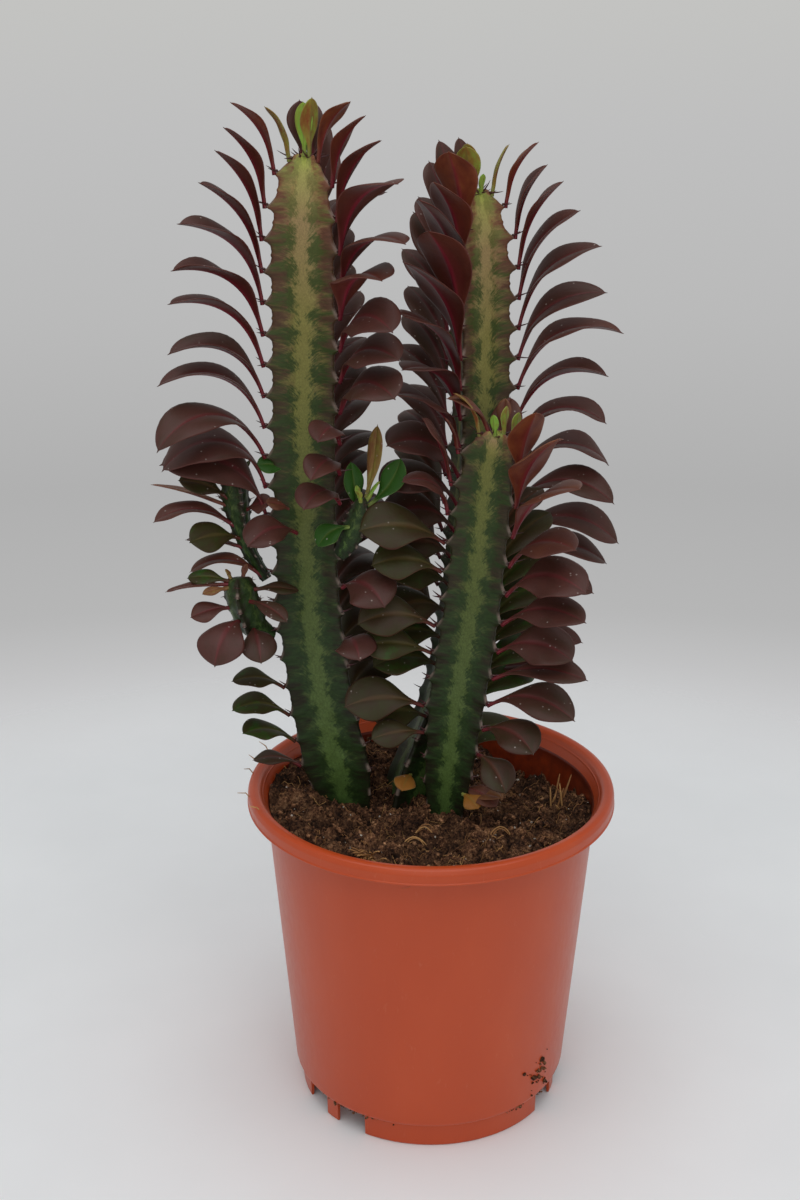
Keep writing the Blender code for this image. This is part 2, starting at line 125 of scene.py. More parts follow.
def add(tree, kind, inputs=None, stops=(), **settings):
    """A new node of that kind with its inputs fed; stops are a ramp's (place, hex) pairs."""
    made = tree.nodes.new("ShaderNode" + kind)
    for name, value in settings.items():
        setattr(made, name, value)
    if stops:
        ramp = made.color_ramp.elements
        ramp.remove(ramp[1])
        ramp[0].position = stops[0][0]
        ramp[0].color = linear(stops[0][1])
        for place, code in stops[1:]:
            ramp.new(place).color = linear(code)
    feed(tree, made, inputs or {})
    return made


def new_material(name, roughness, ior=1.45, specular=0.5):
    """A material to start from, its node tree and its surface node."""
    material = bpy.data.materials.new(name)
    material.use_nodes = True
    tree = material.node_tree
    surface = tree.nodes["Principled BSDF"]
    feed(tree, surface, {"Roughness": roughness, "IOR": ior, "Specular IOR Level": specular})
    return material, tree, surface


# %% World: paper greys by height of the line of sight
scene = bpy.context.scene
scene.view_settings.view_transform = "Standard"
world = bpy.data.worlds.new("paper_room")
scene.world = world
world.use_nodes = True
tree = world.node_tree
tree.nodes.clear()
direction = add(tree, "TexCoord").outputs["Generated"]
height = add(tree, "SeparateXYZ", {0: direction}).outputs["Z"]
share = add(tree, "MapRange", {"Value": height, "From Min": -0.5, "From Max": 1.0})
greys = add(tree, "ValToRGB", {"Fac": share}, stops=(
    (0.0, "d6d6d8"), (0.047, "d3d3d4"), (0.073, "c6c6c7"), (0.1, "b6b6b6"), (0.147, "b0b0b0"), (0.213, "bababa"),
    (0.28, "bfbfbf"), (0.327, "c3c3c1"), (0.5, "cacaca"), (0.66, "a8a8a8"), (0.8, "808080"), (1.0, "707070")))
background = add(tree, "Background", {"Color": greys, "Strength": 1.0})
add(tree, "OutputWorld", {"Surface": background})
print("world greys:", len(greys.color_ramp.elements), "stops")


# %% Soft boxes
PLANT_MIDDLE = Vector((0.0, 0.0, 250 * MM))


def soft_box(name, place, size, power):
    """A round area lamp, size metres wide, aimed at the middle of the plant."""
    lamp = bpy.data.lights.new(name, "AREA")
    lamp.shape = "DISK"
    lamp.size = size
    lamp.energy = power
    item = bpy.data.objects.new(name, lamp)
    item.location = place
    aim = PLANT_MIDDLE - Vector(place)
    item.rotation_euler = aim.to_track_quat("-Z", "Y").to_euler()
    scene.collection.objects.link(item)


soft_box("light_above", (-0.02, -0.3, 1.75), 2.3, 20.0)
soft_box("light_front", (0.1, -1.6, 1.1), 2.0, 5.5)

# %% [markdown]
# ## The paper that the pot stands on
# A round sheet with matt, very faintly mottled paper. It fades out where a real sweep of paper would bend up
# into the wall, so that it never hides the plant from any side.

# %% Floor
PAPER_FADE_START = 0.36
PAPER_FADE_END = 0.58
PAPER_LEVEL = -0.2 * MM
bpy.ops.mesh.primitive_circle_add(vertices=96, radius=PAPER_FADE_END, fill_type="NGON",
                                  location=(0, 0, PAPER_LEVEL))
floor = bpy.context.object
floor.name = "paper_floor"
floor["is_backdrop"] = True
paper, tree, surface = new_material("matt_paper", 0.6, 1.5, 0.2)
place = add(tree, "NewGeometry").outputs["Position"]
mottle = add(tree, "TexNoise", {"Vector": place, "Scale": 9.0, "Detail": 3.0})
tint = add(tree, "ValToRGB", {"Fac": mottle}, stops=((0.3, "f0f3f5"), (0.7, "f5f8fa")))
feed(tree, surface, {"Base Color": tint})
far = add(tree, "VectorMath", {0: place}, operation="LENGTH").outputs["Value"]
fade = add(tree, "MapRange", {"Value": far, "From Min": PAPER_FADE_START, "From Max": PAPER_FADE_END},
           interpolation_type="SMOOTHSTEP")
clear = add(tree, "BsdfTransparent")
both = add(tree, "MixShader", {0: fade, 1: surface, 2: clear})
feed(tree, tree.nodes["Material Output"], {"Surface": both})
floor.data.materials.append(paper)
print("paper radius, mm:", round(PAPER_FADE_END / MM))

# %% [markdown]
# ## Meshes from numbers
# Every plant part is a surface that follows a rule, so it is made from arrays of points rather than by
# sculpting. The helper also stores named numbers on the points, such as how far along its leaf a point lies:
# the materials read those instead of a painted picture.


# %% Mesh helper
def make_piece(name, points, faces, material, numbers=None, smooth=True):
    """A mesh object from points in metres, with one number per point for each name in numbers."""
    mesh = bpy.data.meshes.new(name)
    mesh.from_pydata(np.asarray(points, float).tolist(), [], faces)
    for label, values in (numbers or {}).items():
        layer = mesh.attributes.new(label, "FLOAT", "POINT")
        layer.data.foreach_set("value", np.asarray(values, np.float32).ravel())
    mesh.materials.append(material)
    if smooth:
        mesh.shade_smooth()
    item = bpy.data.objects.new(name, mesh)
    scene.collection.objects.link(item)
    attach(item, "root")
    return item


def ring_faces(rows, columns):
    """Quads between rings of points; each ring joins its last point to its first."""
    i, j = np.meshgrid(np.arange(rows - 1), np.arange(columns), indexing="ij")
    k = (j + 1) % columns
    quads = np.stack([i * columns + j, i * columns + k, (i + 1) * columns + k, (i + 1) * columns + j], -1)
    return quads.reshape(-1, 4).tolist()


def capped_faces(rows, columns):
    """The same quads, with one face across the first ring and one across the last."""
    end = rows * columns
    return [*ring_faces(rows, columns), list(range(columns))[::-1], list(range(end - columns, end))]


def full_turn(count):
    """Evenly spaced angles round a circle."""
    return np.arange(count) * math.tau / count


def polar(radius, angle, z=0.0):
    return Vector((radius * math.cos(angle), radius * math.sin(angle), z))


def round_pot(radius, angle, z):
    """A place at a radius and an angle round the pot's axis."""
    return AXIS.x + radius * math.cos(angle), AXIS.y + radius * math.sin(angle), z


def smoothstep(t):
    """0 to 1 with a soft start and end."""
    t = np.clip(t, 0.0, 1.0)
    return t * t * (3.0 - 2.0 * t)


# %% [markdown]
# ## Rules of growth
# A stem is an axis with three ribs round it. Teeth stand along every rib at one pitch, a third of a pitch
# apart from rib to rib, as the leaves of this plant do. Depth is the length below the growing tip.

# %% Growth constants
CROWN_DEPTH = 2.0 * MM
PETIOLE_RADIUS = 0.9 * MM
LIGHT = np.array(Vector((0.0, -1.0, 0.35)).normalized())
UPRIGHT = np.array([0.0, 0.0, 1.0])


# %% Reading curves and rows
def read_curve(points, t):
    """Catmull-Rom curve through the points, t from 0 to 1 along their count."""
    spans = len(points) - 1
    place = min(max(t, 0.0), 1.0) * spans
    i = min(int(place), spans - 1)
    u = place - i
    p0, p1, p2, p3 = (points[min(max(i + k, 0), spans)] for k in (-1, 0, 1, 2))
    bend = (2 * p0 - 5 * p1 + 4 * p2 - p3) * u**2 + (3 * p1 - p0 - 3 * p2 + p3) * u**3
    return 0.5 * (2 * p1 + (p2 - p0) * u + bend)


def read_keys(keys, t):
    """Straight-line reading of rows (t, value, value, ...) ordered by t."""
    places = [row[0] for row in keys]
    return [float(np.interp(t, places, [row[k] for row in keys])) for k in range(1, len(keys[0]))]


# %% A stem
class Stem:
    """A ribbed stem: its axis runs down from the growing tip."""

    def __init__(self, name, axis, ribs, radii, first_tooth=7.0, pitch=13.2, tooth=4.0, fullness=0.0):
        self.name = name
        self.fullness = fullness
        self.rib_names = list(ribs)
        self.ribs = [math.radians(angle) for angle in ribs.values()]
        self.radii = radii
        self.first_tooth = first_tooth * MM
        self.pitch = pitch * MM
        self.tooth = tooth * MM
        points = [Vector(p) * MM for p in axis]
        line = [read_curve(points, k / 200) for k in range(201)]
        steps = [(b - a).length for a, b in zip(line, line[1:])]
        self.depths = np.concatenate([[0.0], np.cumsum(steps)])
        self.length = self.depths[-1]
        self.table = np.array(line)

    def centre(self, depth):
        return Vector([float(np.interp(depth, self.depths, self.table[:, k])) for k in range(3)])

    def frame(self, depth):
        up = (self.centre(max(depth - 2 * MM, 0.0)) - self.centre(min(depth + 2 * MM, self.length))).normalized()
        east = (Vector((1, 0, 0)) - up * up.x).normalized()
        return up, east, up.cross(east)

    def outward(self, depth, angle):
        _, east, north = self.frame(depth)
        return east * math.cos(angle) + north * math.sin(angle)

    def phase(self, depth, rib):
        """Whole numbers at the teeth, rising downward."""
        return (depth - self.first_tooth) / self.pitch - rib / 3.0

    def radius(self, depth):
        """Rib radius and tooth height in metres."""
        radius, share = read_keys(self.radii, depth / self.length)
        return radius * MM, self.tooth * share

    def teeth(self, rib, last_depth):
        """Depths of a rib's teeth; the first one sits on the growing tip itself."""
        first = self.first_tooth + rib / 3.0 * self.pitch
        return [CROWN_DEPTH, *np.arange(first, last_depth, self.pitch)]

    def tooth_tip(self, depth, rib):
        """The outermost point of a rib at that depth: on a tooth the tip, between teeth the edge."""
        radius, height = self.radius(depth)
        phase = self.phase(depth, rib)
        lift = max(0.0, 1.0 - 3.0 * abs(phase - round(phase)))
        return AXIS + self.centre(depth) + self.outward(depth, self.ribs[rib]) * (radius + height * lift)


# %% The three stems: axis points from tip to root (mm), rib directions (degrees) and radius rows
TALL = Stem(
    "stem_tall",
    [(-52.6, 2, 438), (-52.6, 2, 400), (-53.0, 2, 360), (-53.6, 2, 315), (-53.6, 3, 275),
     (-52.4, 3, 240), (-48.5, 3, 205), (-42.5, 4, 172), (-38.0, 5, 145), (-36.5, 6, 120)],
    {"left": 195, "front": 315, "back": 75},
    [(0.0, 5.0, 0.4), (0.012, 8.2, 0.7), (0.03, 11.0, 0.9), (0.06, 13.2, 1.0), (0.11, 15.2, 1.0),
     (0.55, 15.6, 0.9), (0.72, 16.6, 0.55), (0.86, 18.0, 0.35), (0.93, 13.0, 0.0), (1.0, 10.0, 0.0)],
)
MIDDLE = Stem(
    "stem_middle",
    [(18.2, 27, 421), (18.4, 27, 390), (18.9, 27, 350), (19.0, 27, 310), (17.6, 27, 270),
     (14.4, 25, 232), (7.6, 21, 195), (-3.0, 16, 165), (-10.5, 12, 143), (-14.0, 10, 118)],
    {"right": 8, "back": 128, "front": 248},
    [(0.0, 4.8, 0.4), (0.013, 8.0, 0.7), (0.035, 10.8, 0.9), (0.07, 13.2, 1.0), (0.12, 14.8, 1.0),
     (0.55, 15.2, 0.9), (0.80, 15.6, 0.4), (0.90, 17.0, 0.1), (1.0, 17.0, 0.0)],
)
SHORT = Stem(
    "stem_short",
    [(27.0, -15, 326), (24.8, -15, 313), (22.9, -14.5, 292), (21.4, -14, 275), (19.2, -13, 250),
     (15.6, -11, 221), (12.8, -9.5, 200), (10.8, -8, 178), (9.0, -6, 160), (8.0, -4.5, 145), (7.0, -3, 118)],
    {"left": 190, "front": 310, "back": 70},
    [(0.0, 5.2, 0.4), (0.014, 8.6, 0.7), (0.035, 11.0, 0.9), (0.08, 12.4, 1.0), (0.3, 13.6, 0.9),
     (0.6, 14.2, 0.7), (0.78, 12.2, 0.4), (0.88, 9.5, 0.1), (1.0, 7.0, 0.0)],
    first_tooth=10.0,
)
STEMS = (TALL, MIDDLE, SHORT)
print("stem lengths, mm:", {stem.name: round(stem.length / MM) for stem in STEMS})

# %% [markdown]
# ## Stem skin
# The cross section is a triangle with hollow faces and ribs only three millimetres thick at the edge. It
# could be extruded and sculpted, but the teeth repeat so evenly that a loft of many thin rings gives them
# directly: each ring reads the rib radius, then adds the tooth's outline at its own depth. Between two teeth
# sits a low bump, where the next leaf base would have been.

# %% Cross section and tooth outline
SECTION = [(0, 1.0), (2, 0.992), (4, 0.965), (6, 0.90), (8, 0.82), (10, 0.75), (13, 0.68), (17, 0.62), (22, 0.575),
           (30, 0.53), (45, 0.48), (60, 0.465)]
TURNS = np.array([0, 1.5, 3, 4.5, 6, 8, 10.5, 14, 18, 23, 29, 36, 44, 52, 60.0])
TOOTH_OUTLINE = [(0.0, 1.0), (0.05, 0.9), (0.12, 0.58), (0.3, 0.16), (0.44, 0.04), (0.52, 0.17), (0.6, 0.02),
                 (0.8, 0.12), (0.9, 0.45), (0.96, 0.85), (1.0, 1.0)]
RING_STEP = 0.6 * MM
DOME_RINGS = 4
DOME_HEIGHT = 0.9 * MM
SKIN_ROUGHNESS = 0.06
FACE_HALF_WIDTH = 10.0
OVAL_EDGE = 0.66
OVAL_HALF_WIDTH = 0.42
OVAL_HALF_HEIGHT = 0.46
OVAL_ABOVE_TOOTH = 0.08


# %% The fine surface of a stem
def stem_surface(stem, step=RING_STEP):
    """Points, faces and the numbers that the skin material reads."""
    turns = np.concatenate([TURNS[:-1], TURNS[::-1][:-1]])
    side = np.concatenate([np.ones(len(TURNS) - 1), -np.ones(len(TURNS) - 1)])
    share = np.interp(turns, *zip(*SECTION))
    share = share + stem.fullness * (1.0 - share)
    edge_weight = 1.0 - smoothstep(turns / 15.0)
    hollow = np.sin(np.pi * np.clip(turns / 60.0, 0, 1)) ** 2
    points, numbers = [], {"edge": [], "phase": [], "depth": [], "age": []}
    depths = [0.0] * DOME_RINGS + list(np.arange(0.0, stem.length, step)) + [stem.length]
    for row, depth in enumerate(depths):
        up, east, north = stem.frame(depth)
        radius, height = stem.radius(depth)
        dome_angle = 0.5 * math.pi * min(1.0, (row + 0.35) / (DOME_RINGS + 0.35))
        dome = math.sin(dome_angle)
        middle = AXIS + stem.centre(depth) + up * (DOME_HEIGHT * math.cos(dome_angle))
        for rib in range(3):
            turning = stem.ribs[rib]
            following = stem.ribs[(rib + 1) % 3]
            phases = np.where(side > 0, stem.phase(depth, rib), stem.phase(depth, (rib + 1) % 3))
            angles = np.where(side > 0, turning + np.radians(turns), following - np.radians(turns))
            lift = np.interp(-phases % 1.0, *zip(*TOOTH_OUTLINE))
            relief = 0.023 * radius * np.cos(math.tau * (phases + turns / 90.0)) * hollow
            reach = (radius * share + height * lift * edge_weight + relief) * dome
            for angle, far in zip(angles, reach):
                points.append(middle + east * (far * math.cos(angle)) + north * (far * math.sin(angle)))
            numbers["edge"].extend(1.0 - turns / 60.0)
            numbers["phase"].extend(phases)
            numbers["depth"].extend([depth / MM] * len(turns))
            numbers["age"].extend([depth / stem.length] * len(turns))
    columns = 3 * len(turns)
    points = [p + SKIN_ROUGHNESS * stem.tooth * noise.noise_vector(p * 90.0) for p in points]
    halves = [k // (len(TURNS) - 1) for k in range(columns)] * (len(depths) - 1) + [0, 0]
    return points, capped_faces(len(depths), columns), numbers, halves


# %% [markdown]
# ## The skin of the stems
# Living epidermis with a thin wax layer: a satin surface, never glossy, with an index of refraction of about
# 1.45. A pale yellow-green band runs down the middle of each face. Beside every tooth sits a soft dark green
# oval, ragged where it meets the band, with brown-pink streaks between the ovals and at the margins. Right at
# each rib edge the colour deepens further: partly the margin's own brown, partly painted shade of the
# scalloped edge. The young tip is flushed with pink; lower down the ovals spread and run together, and the skin
# turns deep green with pale scales of about a millimetre. A painted picture could hold all this, but ovals
# counted by the teeth stay right wherever the stem is cut or bent.


# %% Stem skin: millimetres on the skin, pushed about a little
stem_skin, tree, surface = new_material("waxy_stem_epidermis", 0.5, 1.45, 0.3)
edge, phase, depth, age, half = (add(tree, "Attribute", attribute_name=name).outputs["Fac"]
                                 for name in ("edge", "phase", "depth", "age", "half"))
sideways = add(tree, "Math", {0: edge, 1: FACE_HALF_WIDTH}, operation="MULTIPLY")
apart = add(tree, "Math", {0: half, 1: 37.0}, operation="MULTIPLY")
skin_place = add(tree, "CombineXYZ", {0: sideways, 1: depth, 2: apart})
push = add(tree, "TexNoise", {"Vector": skin_place, "Scale": 0.3, "Detail": 4.0, "Roughness": 0.64})
push = add(tree, "SeparateXYZ", {0: push.outputs["Color"]})
pushed = []
for axis, plain in (("X", edge), ("Y", phase)):
    amount = add(tree, "Math", {0: push.outputs[axis], 1: 1.1, 2: -0.55}, operation="MULTIPLY_ADD")
    pushed.append(add(tree, "Math", {0: amount, 1: plain}, operation="ADD"))
edge_here, phase_here = pushed
rising = add(tree, "Math", {0: sideways, 1: 0.9, 2: depth}, operation="MULTIPLY_ADD")
feathered = add(tree, "CombineXYZ", {0: sideways, 1: rising, 2: apart})
streak_place = add(tree, "VectorMath", {0: feathered, 1: (0.34, 0.95, 1.0)}, operation="MULTIPLY")
streaks = add(tree, "TexNoise", {"Vector": streak_place, "Scale": 1.0, "Detail": 4.0, "Roughness": 0.64,
                                 "Distortion": 0.6})
swell = add(tree, "TexNoise", {"Vector": skin_place, "Scale": 0.085, "Detail": 2.0, "Roughness": 0.5})
mottle = add(tree, "TexNoise", {"Vector": skin_place, "Scale": 1.0, "Detail": 4.0, "Roughness": 0.7})

# %% Stem skin: soft green ovals beside the teeth
spread_down = add(tree, "ValToRGB", {"Fac": age}, stops=(
    (0.0, "000000"), (0.3, "202020"), (0.5, "8c8c8c"), (0.9, "a4a4a4")))
oval_side = add(tree, "Math", {0: edge_here, 1: OVAL_EDGE}, operation="SUBTRACT")
oval_side = add(tree, "Math", {0: spread_down, 1: -0.55, 2: oval_side}, operation="MULTIPLY_ADD")
oval_side = add(tree, "Math", {0: oval_side, 1: OVAL_HALF_WIDTH}, operation="DIVIDE")
oval_level = phase_here
for operation, value in (("ADD", 0.5 + OVAL_ABOVE_TOOTH), ("FRACT", 0.0), ("SUBTRACT", 0.5),
                         ("DIVIDE", OVAL_HALF_HEIGHT)):
    oval_level = add(tree, "Math", {0: oval_level, 1: value}, operation=operation)
oval = add(tree, "CombineXYZ", {0: oval_side, 1: oval_level})
oval = add(tree, "VectorMath", {0: oval}, operation="LENGTH").outputs["Value"]
for pattern, weight in ((streaks, 2.3), (swell, 1.6), (spread_down, -0.9)):
    oval = add(tree, "Math", {0: pattern, 1: weight, 2: oval}, operation="MULTIPLY_ADD")
blotch = add(tree, "MapRange", {"Value": oval, "From Min": 3.2, "From Max": 2.3, "To Max": 0.92},
             interpolation_type="SMOOTHSTEP")

# %% Stem skin: the pale band, the brown margins with their painted shade at the rib edge, and the scales
pale, green, brown, margin = (add(tree, "ValToRGB", {"Fac": age}, stops=stops) for stops in (
    ((0.0, "a4b04c"), (0.02, "a09c58"), (0.08, "967f56"), (0.2, "7f7840"), (0.35, "6f7038"), (0.55, "586432"),
     (0.7, "586a38"), (0.85, "567038"), (0.93, "44602c"), (1.0, "2c4018")),
    ((0.0, "8c9448"), (0.03, "7a7440"), (0.1, "3e4c1e"), (0.3, "263a14"), (0.55, "283c1a"), (0.8, "283e1e"),
     (0.95, "1c2e10"), (1.0, "14220a")),
    ((0.0, "8c5a40"), (0.12, "6a4836"), (0.35, "4c3c28"), (0.6, "30321c"), (0.85, "222a14"), (1.0, "181f0e")),
    ((0.0, "7a4a38"), (0.12, "543628"), (0.35, "3c3020"), (0.7, "2a2418"), (1.0, "1a1a0e"))))
brown_here = add(tree, "MapRange", {"Value": edge_here, "From Min": 0.4, "From Max": 0.95, "To Max": 0.85})
# At the rib edge a darker margin colour: partly the margin's own brown, partly painted shade of the scalloped edge.
margin_brown_and_shade = add(tree, "MapRange", {"Value": edge_here, "From Min": 0.76, "From Max": 0.98, "To Max": 0.9})
skin = pale
for share, colour in ((brown_here, brown), (blotch, green), (margin_brown_and_shade, margin)):
    skin = add(tree, "Mix", {0: share, 6: skin, 7: colour}, data_type="RGBA")
scale_place = add(tree, "VectorMath", {0: skin_place, 1: push.outputs["Z"]}, operation="ADD")
scales = add(tree, "TexVoronoi", {"Vector": scale_place, "Scale": 0.75}).outputs["Distance"]
scaly = add(tree, "MapRange", {"Value": age, "From Min": 0.2, "From Max": 0.6, "To Min": 0.05, "To Max": 0.35})
scales = add(tree, "Math", {0: scales, 1: scaly}, operation="MULTIPLY")
grain = add(tree, "MapRange", {"Value": mottle, "From Min": 0.3, "From Max": 0.7, "To Min": 0.8, "To Max": 1.25})
grain = add(tree, "Math", {0: grain, 1: scales}, operation="SUBTRACT")
grain = add(tree, "CombineXYZ", {0: grain, 1: grain, 2: grain})
skin = add(tree, "Mix", {0: 1.0, 6: skin, 7: grain}, data_type="RGBA", blend_type="MULTIPLY")

# %% Stem skin: the horny grey shield above every tooth, and the relief
above_tooth = add(tree, "Math", {0: phase}, operation="FRACT")
shield_top = add(tree, "MapRange", {"Value": above_tooth, "From Min": 0.66, "From Max": 0.8})
shield_side = add(tree, "MapRange", {"Value": edge, "From Min": 0.93, "From Max": 0.98, "To Max": 0.8})
shield = add(tree, "Math", {0: shield_top, 1: shield_side}, operation="MULTIPLY")
skin = add(tree, "Mix", {0: shield, 6: skin, 7: "86746a"}, data_type="RGBA")
bump = add(tree, "Bump", {"Height": mottle, "Strength": 0.3, "Distance": 0.5 * MM})
feed(tree, surface, {"Base Color": skin, "Normal": bump})
print("stem skin nodes:", len(tree.nodes))


# %% Grow the three stems: the short one is old almost to its tip
def grow_stem(stem, name, ages=((0.0, 1.0), (0.0, 1.0)), edge_start=0.0, step=RING_STEP):
    """ages says how old the skin looks along the stem; edge_start moves the ovals toward the faces' middle."""
    points, faces, numbers, halves = stem_surface(stem, step)
    numbers["age"] = np.interp(numbers["age"], *ages)
    numbers["edge"] = edge_start + (1.0 - edge_start) * np.array(numbers["edge"])
    grown = make_piece(name, points, faces, stem_skin, numbers)
    layer = grown.data.attributes.new("half", "FLOAT", "FACE")
    layer.data.foreach_set("value", np.array(halves, np.float32))
    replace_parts(grown, stem.name)
    print(name, len(faces), "faces")


grow_stem(TALL, "tall_stem")
grow_stem(MIDDLE, "middle_stem")
grow_stem(SHORT, "short_stem", ages=((0.0, 0.05, 1.0), (0.0, 0.35, 1.0)))

# %% [markdown]
# ## Spines
# Two thorns spread from every tooth like a moustache, dark maroon, thin and stiff. A cone would be too plain:
# each thorn swells at its base and bends a little upward, so it is a short tube that narrows to a point.

# %% Spine material
thorn, tree, surface = new_material("horny_stipule_spine", 0.4, 1.54, 0.5)
along = add(tree, "Attribute", attribute_name="along").outputs["Fac"]
maroon = add(tree, "ValToRGB", {"Fac": along}, stops=(
    (0.0, "6a5048"), (0.25, "4c1c22"), (0.8, "3a1218"), (1.0, "5a3a30")))
feed(tree, surface, {"Base Color": maroon})


# %% Tubes along lines
TUBE_SIDES = 5


def tube(line, radii):
    """Points and faces of a closed tube through the points of a line, with a radius at each."""
    line = np.array(line)
    along = np.gradient(line, axis=0)
    along /= np.linalg.norm(along, axis=1)[:, None]
    helper = np.where(np.abs(along[:, 2:3]) < 0.9, [[0, 0, 1.0]], [[1.0, 0, 0]])
    first = np.cross(along, helper)
    first /= np.linalg.norm(first, axis=1)[:, None]
    second = np.cross(along, first)
    turns = full_turn(TUBE_SIDES)
    rings = line[:, None] + np.asarray(radii)[:, None, None] * (
        first[:, None] * np.cos(turns)[:, None] + second[:, None] * np.sin(turns)[:, None])
    return rings.reshape(-1, 3), capped_faces(len(line), TUBE_SIDES)


def join_tubes(name, tubes, material, numbers):
    """One piece from many tubes, each given as (line, radii); numbers holds one value per tube point."""
    points, faces, total = [], [], 0
    for line, radii in tubes:
        made, made_faces = tube(line, radii)
        faces.extend([k + total for k in face] for face in made_faces)
        points.append(made)
        total += len(made)
    return make_piece(name, np.concatenate(points), faces, material, numbers)


# %% Spines on every tooth
THORN_SHARES = (0.0, 0.25, 0.6, 0.85, 1.0)
THORN_RADII = (0.62, 0.4, 0.27, 0.16, 0.04)
CROWN_PAIRS = 5


def thorn_pair(root, outward, up, sideways, length):
    """Two spines from one tooth."""
    pair = []
    for side in (-1, 1):
        lean = (outward * draw.uniform(0.55, 0.95) + sideways * (side * draw.uniform(0.7, 1.0))
                + up * draw.uniform(-0.1, 0.35))
        reach = length * draw.uniform(0.75, 1.15)
        line = [root + lean.normalized() * (reach * t) + up * (0.12 * reach * t * t) for t in THORN_SHARES]
        pair.append((line, [r * MM * min(1.0, length / (5 * MM)) for r in THORN_RADII]))
    return pair


def tooth_thorns(stem, rooted_end, above, sunk, longest, shortest):
    """A pair on every tooth down to the rooted end, a little above the tooth's tip and sunk into it. The pairs
    shrink from the longest on the upper third to the shortest at the root. All in mm."""
    pairs = []
    for rib in range(3):
        for depth in stem.teeth(rib, stem.length - rooted_end * MM):
            up = stem.frame(depth)[0]
            out = stem.outward(depth, stem.ribs[rib])
            length = (longest - (longest - shortest) * max(0.0, depth / stem.length - 0.3) / 0.7) * MM
            root = stem.tooth_tip(depth, rib) + up * (above * MM) - out * (sunk * MM)
            pairs.extend(thorn_pair(root, out, up, up.cross(out), length))
    return pairs


def spines(name, pairs):
    along = np.tile(np.repeat(THORN_SHARES, TUBE_SIDES), len(pairs))
    thorns = join_tubes(name, pairs, thorn, {"along": along})
    print(name, len(pairs), "spines")


draw = random.Random(5)
for stem in STEMS:
    pairs = tooth_thorns(stem, rooted_end=34, above=1.1, sunk=0.9, longest=7.0, shortest=2.0)
    up = stem.frame(1 * MM)[0]
    for turn in full_turn(CROWN_PAIRS):
        out = stem.outward(1 * MM, turn)
        root = AXIS + stem.centre(0.6 * MM) + out * (2.6 * MM)
        pairs.extend(thorn_pair(root, out, up * 2.5, up.cross(out), 5.5 * MM))
    spines(stem.name[5:] + "_spines", pairs)

# %% [markdown]
# ## Leaves
# A leaf is a thin fleshy blade on a short stalk, folded a little along its midrib, widest past the middle and
# ending in a tiny hard point. It leaves its tooth steeply, arches outward and turns its upper side to the
# light. Each one is a closed skin of points round a curved midrib, because a flat card with a picture on it
# would look wrong from the side, where this plant shows most of its leaves edge on.

# %% Leaf outline and sampling
STATIONS = np.concatenate([np.linspace(0, 0.1, 4)[:-1], np.linspace(0.1, 0.86, 17)[:-1], np.linspace(0.86, 0.975, 7),
                           [0.985, 0.995]])
WIDEST = 0.64
POINT_START = 0.975
LEAF_THICKNESS = 1.1 * MM
ACROSS = np.array([-1, -0.92, -0.75, -0.5, -0.25, -0.08, 0, 0.08, 0.25, 0.5, 0.75, 0.92, 1.0])


def leaf_outline(t):
    """Half-width share along the leaf: a stalk, an egg-shaped blade and a short hard point."""
    t = np.asarray(t, float)
    opening = 0.07 + 0.93 * smoothstep((t - 0.04) / 0.6)
    closing = np.clip(1.0 - np.clip((t - WIDEST) / (POINT_START - WIDEST), 0, 1) ** 2.2, 0, 1) ** 0.7
    point = 0.045 * (1.0 - t) / (1.0 - POINT_START) * (t >= 0.97)
    return np.where(t < WIDEST, opening, np.maximum(closing, point))


